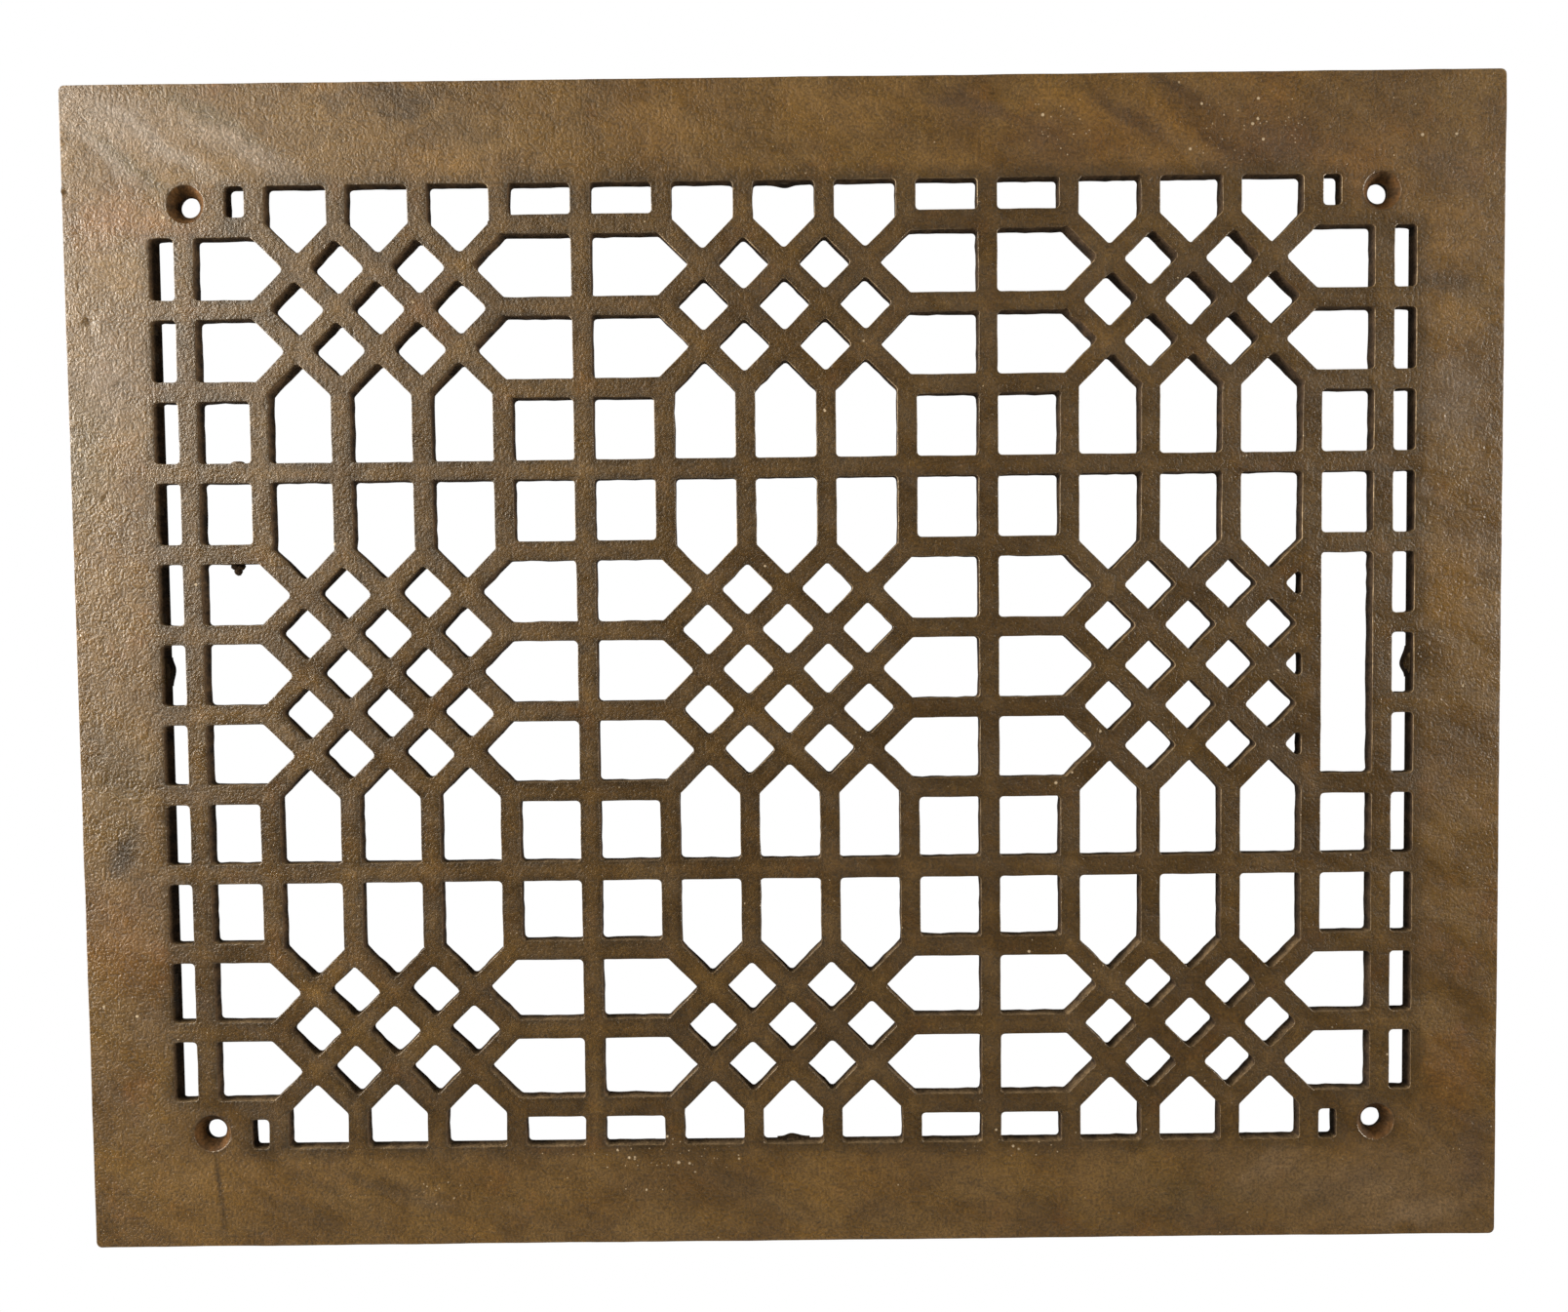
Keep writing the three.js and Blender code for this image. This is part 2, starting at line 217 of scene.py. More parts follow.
class NodeSheet:
    """Adds nodes to a material and links them."""

    def __init__(self, material: bpy.types.Material) -> None:
        """Starts from the shader that a new material has.

        Args:
            material: The material to fill.
        """
        material.use_nodes = True
        self.tree = material.node_tree
        self.shader = next(node for node in self.tree.nodes if node.type == "BSDF_PRINCIPLED")

    def add(self, kind: str, inputs: dict, **settings: object) -> bpy.types.Node:
        """Adds one node.

        Args:
            kind: The node's type.
            inputs: For each input, by name or number, a value or the output that feeds it.
            settings: The node's own settings.

        Returns:
            The node.
        """
        node = self.tree.nodes.new(kind)
        for name, value in settings.items():
            setattr(node, name, value)
        for key, value in inputs.items():
            self.feed(node.inputs[key], value)
        return node

    def feed(self, socket: bpy.types.NodeSocket, value: object) -> None:
        """Links an output to a socket, or sets the socket's value.

        Args:
            socket: The input.
            value: An output socket, or a plain value.
        """
        if isinstance(value, bpy.types.NodeSocket):
            self.tree.links.new(value, socket)
        else:
            socket.default_value = value

    def placed(self, size: float | tuple[float, float, float], turn: float = 0.0,
               shift: tuple[float, float, float] = (0.0, 0.0, 0.0)) -> bpy.types.NodeSocket:
        """Places on the object, measured in units of the given sizes.

        Args:
            size: The unit, or the units along x, y and z, in millimetres.
            turn: A turn of the pattern in the plane of the front, in degrees.
            shift: Moves the pattern, in units.

        Returns:
            The vector.
        """
        sizes = (size,) * 3 if isinstance(size, float) else size
        turned = self.add("ShaderNodeMapping", {
            "Vector": self.add("ShaderNodeTexCoord", {}).outputs["Object"],
            "Rotation": (0.0, math.radians(turn), 0.0),
        }).outputs[0]
        return self.add("ShaderNodeMapping", {
            "Vector": turned, "Location": shift, "Scale": tuple(1.0 / (MM * each) for each in sizes),
        }).outputs[0]

    def where(self) -> bpy.types.bpy_prop_collection:
        """The place on the object: outputs X, Y and Z, in millimetres."""
        return self.add("ShaderNodeSeparateXYZ", {"Vector": self.placed(1.0)}).outputs

    def facing(self) -> bpy.types.bpy_prop_collection:
        """The way that the surface faces: outputs X, Y and Z."""
        normal = self.add("ShaderNodeTexCoord", {}).outputs["Normal"]
        return self.add("ShaderNodeSeparateXYZ", {"Vector": normal}).outputs

    def oval(self, vector: bpy.types.NodeSocket, place: tuple[float, float], size: tuple[float, float],
             turn: float = 0.0) -> bpy.types.NodeSocket:
        """How far a place in the plan is from the middle of an oval.

        Args:
            vector: The place.
            place: The oval's middle.
            size: Its reach along x and z before the turn.
            turn: Its turn in the plane of the front, in degrees.

        Returns:
            The distance, which is 1 at the oval's reach.
        """
        seen = self.add("ShaderNodeMapping", {
            "Vector": vector, "Location": (place[0], 0.0, place[1]),
            "Rotation": (0.0, math.radians(turn), 0.0), "Scale": (size[0], FAR, size[1]),
        }, vector_type="TEXTURE").outputs[0]
        return self.add("ShaderNodeVectorMath", {0: seen}, operation="LENGTH").outputs["Value"]

    def cloud(self, cloud: Cloud, output: str = "Fac") -> bpy.types.NodeSocket:
        """Lays soft noise on the object.

        Args:
            cloud: The noise.
            output: Fac for its strength, Color for three at once.

        Returns:
            The strength, about 0 to 1.
        """
        return self.add("ShaderNodeTexNoise", {
            "Vector": self.placed(cloud.size, cloud.turn, cloud.shift), "Scale": 1.0, "Detail": cloud.detail,
            "Roughness": cloud.roughness, "Distortion": cloud.swirl,
        }).outputs[output]

    def curve(self, value: bpy.types.NodeSocket, low: float, high: float, start: float = 0.0,
              end: float = 1.0) -> bpy.types.NodeSocket:
        """Turns low to high of a value smoothly into start to end, and stops at both."""
        return self.add("ShaderNodeMapRange", {
            "Value": value, "From Min": low, "From Max": high, "To Min": start, "To Max": end,
        }, interpolation_type="SMOOTHSTEP").outputs["Result"]

    def math(self, operation: str, first: object, second: object = 0.0) -> bpy.types.NodeSocket:
        """One sum, by the Math node's operation."""
        return self.add("ShaderNodeMath", {0: first, 1: second}, operation=operation).outputs[0]

    def blend(self, share: object, below: object, above: object,
              way: str = "MIX") -> bpy.types.NodeSocket:
        """Lays so much of the upper colour over the lower one, by the Mix node's blend type."""
        return self.add("ShaderNodeMix", {0: share, 6: below, 7: above}, data_type="RGBA",
                        blend_type=way).outputs[2]


class Tone(Enum):
    """The colours of the broad patches on the face, as linear red, green and blue."""

    # Pale grey, partly rubbed metal and partly painted sheen, laid where the lights glance off the face.
    RUB_AND_SHEEN = (0.200, 0.146, 0.098, 1.0)
    OCHRE = (0.190, 0.095, 0.020, 1.0)
    RUST = (0.155, 0.062, 0.014, 1.0)
    PURPLE = (0.062, 0.034, 0.018, 1.0)
    OLIVE = (0.072, 0.049, 0.018, 1.0)
    SHADOW = (0.033, 0.018, 0.007, 1.0)
    DUN = (0.180, 0.108, 0.048, 1.0)


@dataclass(frozen=True)
class Patch:
    """One broad soft patch on the face.

    Args:
        tone: Its colour.
        x: Its middle's place across, in millimetres.
        z: Its middle's place upwards.
        across: Its reach along x before the turn.
        up: Its reach along z before the turn.
        turn: Its turn in the plane of the front, in degrees.
        strength: How much of the colour under it is covered at its middle.
        stray: How far its edge strays, as a share of the usual.
    """

    tone: Tone
    x: float
    z: float
    across: float
    up: float
    turn: float
    strength: float
    stray: float = 1.0


@dataclass(frozen=True)
class Mottle:
    """One layer of soft mottling on the face.

    Args:
        colour: Its colour.
        cloud: The noise that it follows.
        reach: Where in the noise's range it starts and is full.
        strength: How much of the colour under it is covered then.
    """

    colour: tuple
    cloud: Cloud
    reach: tuple[float, float]
    strength: float


@dataclass(frozen=True)
class OldIron:
    """The finish of the casting: brown sand-cast iron, mottled, rubbed on the face and dark in the openings,
    with painted shade along and inside the openings, a painted highlight on the arrises, painted light on the
    walls that face up and painted sheen in the pale grey patches.

    Colours are linear red, green and blue. Lengths are millimetres. A curve's four numbers are where it
    starts and ends, and its strength before and after.
    """

    umber: tuple = (0.092, 0.047, 0.0125, 1.0)
    # The next colour is grime with painted shade, laid on the face towards the openings.
    grime_and_shade: tuple = (0.036, 0.0205, 0.0075, 1.0)
    # The next colour is a painted highlight with wear, laid on the very edges that face the lights.
    worn_lit_arris: tuple = (0.300, 0.200, 0.100, 1.0)
    sink_rust: tuple = (0.115, 0.052, 0.016, 1.0)
    sink_brown: tuple = (0.058, 0.031, 0.013, 1.0)
    dust: tuple = (0.50, 0.37, 0.22, 1.0)
    # The next colour is soot with painted shade: it darkens the walls deeper in the openings and on the walls
    # that face left.
    soot_and_shade: tuple = (0.020, 0.014, 0.010, 1.0)
    wall_brown: tuple = (0.098, 0.056, 0.026, 1.0)
    # The next colour is painted light, laid on the walls that face up.
    lit_ledge_brown: tuple = (0.170, 0.110, 0.052, 1.0)
    sheen_tint: tuple = (1.0, 0.88, 0.70, 1.0)
    mottles: tuple[Mottle, ...] = (
        Mottle((0.138, 0.074, 0.020, 1.0), Cloud((30.0, 30.0, 24.0), 4.0, 0.6, 0.6, 18.0),
               (0.34, 0.66), 1.0),
        Mottle((0.168, 0.083, 0.017, 1.0), Cloud((58.0, 40.0, 13.0), 4.0, 0.6, 0.4, -24.0, (3.0, 1.0, 8.0)),
               (0.5, 0.72), 0.4),
        Mottle((0.048, 0.027, 0.010, 1.0), Cloud((40.0, 40.0, 12.0), 5.0, 0.62, 0.5, -28.0, (11.0, 4.0, 2.0)),
               (0.52, 0.74), 0.45),
        Mottle((0.168, 0.064, 0.013, 1.0), Cloud((17.0, 17.0, 17.0), shift=(5.0, 9.0, 2.0)),
               (0.56, 0.78), 0.4),
    )
    grain: Cloud = Cloud((0.85, 0.85, 0.85), 3.0, 0.62)
    pores: Cloud = Cloud((3.2, 3.2, 3.2), 3.0, 0.55, shift=(7.0, 3.0, 1.0))
    sheen: Cloud = Cloud((30.0, 26.0, 9.0), 5.0, 0.65, 0.4, -30.0, (2.0, 0.0, 5.0))
    straying: Cloud = Cloud((14.0, 14.0, 14.0), shift=(3.0, 7.0, 5.0))
    grime_and_shade_edge: Cloud = Cloud((10.0, 10.0, 10.0), shift=(9.0, 2.0, 6.0))
    wear: Cloud = Cloud((6.0, 6.0, 6.0), 3.0, 0.6, shift=(1.0, 8.0, 3.0))
    sink_patch: Cloud = Cloud((5.0, 5.0, 5.0), shift=(3.0, 5.0, 8.0))
    wall_patch: Cloud = Cloud((4.0, 14.0, 4.0), shift=(1.0, 6.0, 4.0))
    crowd: Cloud = Cloud((34.0, 34.0, 22.0), 3.0, 0.6, turn=-20.0, shift=(4.0, 4.0, 9.0))
    relief: float = 0.55
    relief_across: tuple = ((-202.0, -180.0, 1.28, 1.1), (60.0, 200.0, 1.0, 0.78))
    stray_reach: float = 26.0
    narrow_grime_and_shade: float = 0.40
    wide_grime_and_shade: float = 0.48
    screw_place: tuple = (180.175, 142.125)
    screw_stain: tuple = (5.0, 7.4, 0.5, 0.0)
    speck_sizes: tuple = ((0.95, 0.8), (1.7, 0.9))
    speckled_areas: tuple = (
        (82.0, 162.0, 12.0, 12.0), (140.0, 160.0, 22.0, 14.0), (-40.0, -148.0, 30.0, 9.0),
        (88.0, -30.0, 16.0, 12.0), (65.0, -146.0, 26.0, 6.0), (-110.0, -162.0, 8.0, 5.0),
    )
    patches: tuple[Patch, ...] = tuple(Patch(*row) for row in (
        # The pale grey patches here and further down are painted sheen as well as rubbed metal.
        (Tone.RUB_AND_SHEEN, -200, 167, 24, 10, 20, 0.6),
        (Tone.RUB_AND_SHEEN, -205, 158, 17, 2.4, 38, 0.75, 0.4),
        (Tone.RUB_AND_SHEEN, -186, 160, 24, 2.6, 34, 0.78, 0.4),
        (Tone.RUB_AND_SHEEN, -164, 160, 24, 5, 28, 0.7, 0.4),
        (Tone.OLIVE, -196, 154, 18, 2.2, 36, 0.6, 0.4),
        (Tone.OLIVE, -172, 168, 22, 2.4, 26, 0.55, 0.4),
        (Tone.SHADOW, -215, 133, 3, 11, 0, 0.35, 0.4),
        (Tone.RUST, -204, 138, 13, 10, 0, 0.6),
        (Tone.RUST, -186, 133, 17, 5, 12, 0.5),
        (Tone.RUB_AND_SHEEN, -205, 89, 10, 18, 0, 0.35),
        (Tone.OLIVE, -214, 66, 8, 24, 0, 0.5),
        (Tone.SHADOW, -117, 173, 23, 4, 0, 0.7),
        (Tone.SHADOW, -96, 164, 13, 5, 0, 0.35),
        (Tone.OCHRE, -103, 150, 18, 7, 0, 0.5),
        (Tone.OCHRE, -39, 163, 17, 7, 10, 0.45),
        (Tone.OCHRE, 14, 167, 18, 7, 15, 0.35),
        (Tone.OCHRE, 46, 153, 18, 5, 10, 0.3),
        (Tone.PURPLE, 58, 170, 15, 4, 15, 0.5),
        (Tone.OCHRE, 86, 171, 15, 3, 32, 0.7, 0.5),
        (Tone.PURPLE, 79, 160, 13, 7, 25, 0.4),
        (Tone.SHADOW, 104, 165, 16, 2.6, 36, 0.65, 0.5),
        (Tone.SHADOW, 121, 170, 18, 3, 32, 0.72, 0.5),
        (Tone.OCHRE, 119, 163, 17, 2.2, 34, 0.65, 0.5),
        (Tone.SHADOW, 131, 158, 17, 3.4, 32, 0.7, 0.5),
        (Tone.OCHRE, 150, 171, 14, 4, 22, 0.4, 0.6),
        (Tone.PURPLE, 149, 155, 16, 9, 20, 0.55),
        (Tone.RUST, 175, 150, 18, 12, 0, 0.35),
        (Tone.RUST, 112, 160, 60, 17, 0, 0.22),
        (Tone.PURPLE, 201, 146, 9, 14, 0, 0.3),
        (Tone.OCHRE, 201, 128, 8, 10, 0, 0.55),
        (Tone.SHADOW, 201, 115, 10, 3.5, 20, 0.5, 0.6),
        (Tone.OCHRE, 201, 102, 9, 8, 0, 0.55),
        (Tone.RUB_AND_SHEEN, 203, 80, 10, 15, 0, 0.3),
        (Tone.OCHRE, 202, 23, 11, 17, 0, 0.6),
        (Tone.SHADOW, 194, 4, 8, 5, -20, 0.45),
        (Tone.OLIVE, 187, 41, 9, 5, 0, 0.4),
        (Tone.SHADOW, -205, -54.5, 3.2, 9, 22, 0.95, 0.3),
        (Tone.SHADOW, -203, -55, 7, 9, 0, 0.35),
        (Tone.OLIVE, -206, -32, 12, 21, 0, 0.35),
        (Tone.RUST, -207, -80, 13, 18, 0, 0.4),
        (Tone.OCHRE, -175, -159, 30, 11, 0, 0.3),
        (Tone.SHADOW, -178.7, -156, 0.9, 9, -6, 0.7, 0.05),
        (Tone.SHADOW, -177.5, -169, 1.1, 9, -3, 0.5, 0.05),
        (Tone.SHADOW, -122, -161, 20, 3.4, 24, 0.45, 0.6),
        (Tone.DUN, -113, -164, 8, 3, 20, 0.3, 0.6),
        (Tone.RUST, -64, -145, 21, 4, 0, 0.4),
        (Tone.OCHRE, 20, -157, 18, 9, -10, 0.3),
        (Tone.OLIVE, 129, -164, 36, 8, 0, 0.3),
        (Tone.DUN, 178, -163, 46, 15, 0, 0.5),
        (Tone.DUN, 147, -155, 13, 4, -25, 0.5, 0.6),
        (Tone.SHADOW, 167, -165, 20, 3.6, -25, 0.3, 0.6),
        (Tone.DUN, 192, -171, 21, 3.6, -14, 0.7, 0.5),
        (Tone.PURPLE, 210, -152, 7, 14, 0, 0.6, 0.6),
        (Tone.RUST, 204, -128, 9, 16, 0, 0.4),
        (Tone.OCHRE, 93, 97, 9, 8, 0, 0.45),
        (Tone.RUST, -110, 109, 12, 9, 0, 0.4),
        (Tone.OCHRE, -34, 58, 10, 8, 0, 0.35),
        (Tone.OCHRE, -111, -57, 10, 9, 0, 0.4),
        (Tone.SHADOW, 124, 115, 18, 15, 0, 0.35),
        (Tone.SHADOW, 78, 10, 120, 115, 0, 0.26),
        (Tone.OCHRE, -144, -90, 18, 15, 0, 0.35),
    ))

    def make(self, zone: Zone) -> bpy.types.Material:
        """Makes the material for one zone of the casting.

        Args:
            zone: The zone.

        Returns:
            The material.
        """
        ageing = zone.value
        material = bpy.data.materials.new(ageing.name)
        sheet = NodeSheet(material)
        grain, pores = sheet.cloud(self.grain), sheet.cloud(self.pores)
        colour = {
            Zone.WORN: self._face_colour, Zone.SOOTY_SHADED: self._wall_colour, Zone.RUSTED: self._sink_colour,
        }[zone](sheet)
        low, high = ageing.grain_range
        tone = sheet.math("ADD", sheet.curve(grain, low, high, 1.0 - ageing.grain, 1.0 + ageing.grain),
                          sheet.curve(pores, 0.3, 0.7, -ageing.pores, ageing.pores))
        grey = sheet.add("ShaderNodeCombineColor", {0: tone, 1: tone, 2: tone}).outputs[0]
        colour = sheet.blend(1.0, colour, grey, "MULTIPLY")
        if zone is Zone.WORN:
            colour = sheet.blend(self._near_screw(sheet), self._specks(sheet, colour), self.sink_brown)
        sheet.feed(sheet.shader.inputs["Base Color"], colour)
        rough = sheet.curve(sheet.cloud(self.sheen), 0.34, 0.66, *ageing.roughness)
        speckled = sheet.math("ADD", rough, sheet.curve(grain, 0.35, 0.65, 0.06, -0.06))
        sheet.feed(sheet.shader.inputs["Roughness"], speckled)
        sheet.shader.inputs["Specular IOR Level"].default_value = ageing.specular
        sheet.shader.inputs["Specular Tint"].default_value = self.sheen_tint
        height = sheet.math("ADD", sheet.math("MULTIPLY", grain, 0.6), sheet.math("MULTIPLY", pores, 0.6))
        for change in self.relief_across:
            height = sheet.math("MULTIPLY", height, sheet.curve(sheet.where()["X"], *change))
        bump = sheet.add("ShaderNodeBump", {"Strength": 1.0, "Distance": self.relief * MM, "Height": height})
        sheet.feed(sheet.shader.inputs["Normal"], bump.outputs["Normal"])
        return material

    def _face_colour(self, sheet: NodeSheet) -> bpy.types.NodeSocket:
        """The colour of the face, rim and back, without its grain.

        Args:
            sheet: The material's nodes.

        Returns:
            The colour.
        """
        colour = self.umber
        for mottle in self.mottles:
            share = sheet.curve(sheet.cloud(mottle.cloud), *mottle.reach, 0.0, mottle.strength)
            colour = sheet.blend(share, colour, mottle.colour)
        return self._edge_grime_shade_and_highlight(sheet, self._broad_patches(sheet, colour))

    def _broad_patches(self, sheet: NodeSheet, colour: bpy.types.NodeSocket) -> bpy.types.NodeSocket:
        """Lays the broad patches over the face, with straying edges.

        Args:
            sheet: The material's nodes.
            colour: The colour under them.

        Returns:
            The patched colour.
        """
        stray = sheet.cloud(self.straying, "Color")
        aside = sheet.add("ShaderNodeVectorMath", {0: stray, 1: (0.5,) * 3}, operation="SUBTRACT").outputs[0]
        strayed = {
            share: sheet.add("ShaderNodeVectorMath", {
                0: aside, 1: (self.stray_reach * share, 0.0, self.stray_reach * share), 2: sheet.placed(1.0),
            }, operation="MULTIPLY_ADD").outputs[0]
            for share in sorted({patch.stray for patch in self.patches})
        }
        for patch in self.patches:
            reach = sheet.oval(strayed[patch.stray], (patch.x, patch.z), (patch.across, patch.up), patch.turn)
            colour = sheet.blend(sheet.curve(reach, 0.1, 1.45, patch.strength, 0.0), colour, patch.tone.value)
        return colour

    def _edge_grime_shade_and_highlight(self, sheet: NodeSheet, colour: bpy.types.NodeSocket) -> bpy.types.NodeSocket:
        """Darkens the face towards the openings with grime and painted shade, and paints the very edge pale:
        wear and a painted highlight.

        Args:
            sheet: The material's nodes.
            colour: The colour under the grime and painted shade.

        Returns:
            The colour with grime, painted shade and the painted arris highlight.
        """
        reach = sheet.add("ShaderNodeAttribute", {}, attribute_name=REACH).outputs["Fac"]
        patch = sheet.curve(sheet.cloud(self.grime_and_shade_edge), 0.3, 0.7, -0.9, 0.9)
        strayed = sheet.math("ADD", reach, patch)
        place = sheet.where()
        # Painted shade with grime: a narrow dark band along the openings' edges, stronger to the left, and a
        # wider one over the bars.
        narrow = sheet.math("MULTIPLY", sheet.curve(strayed, -0.3, 1.7, self.narrow_grime_and_shade, 0.0),
                            sheet.curve(place["X"], -60.0, 140.0, 1.0, 0.25))
        share = sheet.math("ADD", narrow, sheet.curve(strayed, 1.4, 5.4, self.wide_grime_and_shade, 0.0))
        colour = sheet.blend(share, colour, self.grime_and_shade)
        # Painted highlight with wear: the very edge is paler where it faces left towards the lights and
        # higher up.
        worn_and_lit = sheet.math("MULTIPLY", sheet.curve(sheet.cloud(self.wear), 0.36, 0.6, 0.15, 0.95),
                          sheet.curve(sheet.facing()["X"], -0.5, -0.1, 1.0, 0.4))
        worn_and_lit = sheet.math("MULTIPLY", worn_and_lit, sheet.curve(place["Z"], -90.0, 30.0, 0.25, 1.0))
        bare_and_lit = sheet.math("MULTIPLY", sheet.curve(reach, 0.1, 0.42, 1.0, 0.0), worn_and_lit)
        return sheet.blend(bare_and_lit, colour, self.worn_lit_arris)

    def _near_screw(self, sheet: NodeSheet) -> bpy.types.NodeSocket:
        """Where the screw heads' rust has stained the face.

        Args:
            sheet: The material's nodes.

        Returns:
            The stain's strength.
        """
        spot = sheet.where()
        x, z = (
            sheet.math("POWER", sheet.math("SUBTRACT", sheet.math("ABSOLUTE", spot[axis]), place), 2.0)
            for axis, place in zip("XZ", self.screw_place)
        )
        return sheet.curve(sheet.math("SQRT", sheet.math("ADD", x, z)), *self.screw_stain)

    def _sink_colour(self, sheet: NodeSheet) -> bpy.types.NodeSocket:
        """The colour of the countersinks, which the screw heads have rusted."""
        patch = sheet.curve(sheet.cloud(self.sink_patch), 0.38, 0.62)
        return sheet.blend(patch, self.sink_brown, self.sink_rust)

    def _wall_colour(self, sheet: NodeSheet) -> bpy.types.NodeSocket:
        """The colour of the walls inside the openings: soot with painted shade, darker deeper in and on the
        walls that face left, and painted light on the walls that face up.

        Args:
            sheet: The material's nodes.

        Returns:
            The colour.
        """
        depth, patch, facing = sheet.where()["Y"], sheet.cloud(self.wall_patch), sheet.facing()
        # Painted shade with soot: the walls grow darker deeper in the openings.
        share = sheet.math("MULTIPLY", sheet.curve(patch, 0.35, 0.68, 1.0, 0.3),
                           sheet.curve(depth, -5.0, -1.5, 0.35, 1.0))
        colour = sheet.blend(share, self.wall_brown, self.soot_and_shade)
        # Painted shade: the walls that face left are darker still.
        colour = sheet.blend(sheet.curve(facing["X"], -0.9, -0.3, 0.55, 0.0), colour, self.soot_and_shade)
        # Painted light: the walls that face up are paler, most near the front.
        lit_ledge = sheet.math("MULTIPLY", sheet.curve(facing["Z"], 0.4, 0.9, 0.0, 0.9),
                           sheet.math("MULTIPLY", sheet.curve(patch, 0.35, 0.6, 0.45, 1.0),
                                      sheet.curve(depth, -4.4, -1.0, 1.0, 0.2)))
        return sheet.blend(lit_ledge, colour, self.lit_ledge_brown)

    def _specks(self, sheet: NodeSheet, colour: bpy.types.NodeSocket) -> bpy.types.NodeSocket:
        """Small pale specks of dust in the pores, thicker in some places than in others.

        Args:
            sheet: The material's nodes.
            colour: The colour under them.

        Returns:
            The colour with the specks.
        """
        bar = sheet.curve(sheet.cloud(self.crowd), 0.5, 0.75, 1.0, 0.965)
        for x, z, across, up in self.speckled_areas:
            reach = sheet.oval(sheet.placed(1.0), (x, z), (across, up))
            bar = sheet.math("SUBTRACT", bar, sheet.curve(reach, 0.2, 1.2, 0.14, 0.0))
        for size, strength in self.speck_sizes:
            cells = sheet.add("ShaderNodeTexVoronoi", {
                "Vector": sheet.placed(size), "Scale": 1.0, "Randomness": 1.0,
            })
            chance = sheet.add("ShaderNodeSeparateColor", {0: cells.outputs["Color"]})
            wide = sheet.curve(chance.outputs[1], 0.3, 1.0, 0.16, 0.38)
            dot = sheet.curve(sheet.math("DIVIDE", cells.outputs["Distance"], wide), 0.5, 1.0, strength, 0.0)
            shown = sheet.math("GREATER_THAN", chance.outputs[0], bar)
            colour = sheet.blend(sheet.math("MULTIPLY", dot, shown), colour, self.dust)
        return colour


@dataclass
class PlanLoop:
    """One closed outline of the casting's plan, with the metal on its left.

    Args:
        points: The outline's points, x and z, in millimetres.
        outwards: At each point, the unit direction away from the metal.
        is_edge: True for the plate's outer edge, False for an opening.
    """

    points: np.ndarray
    outwards: np.ndarray
    is_edge: bool


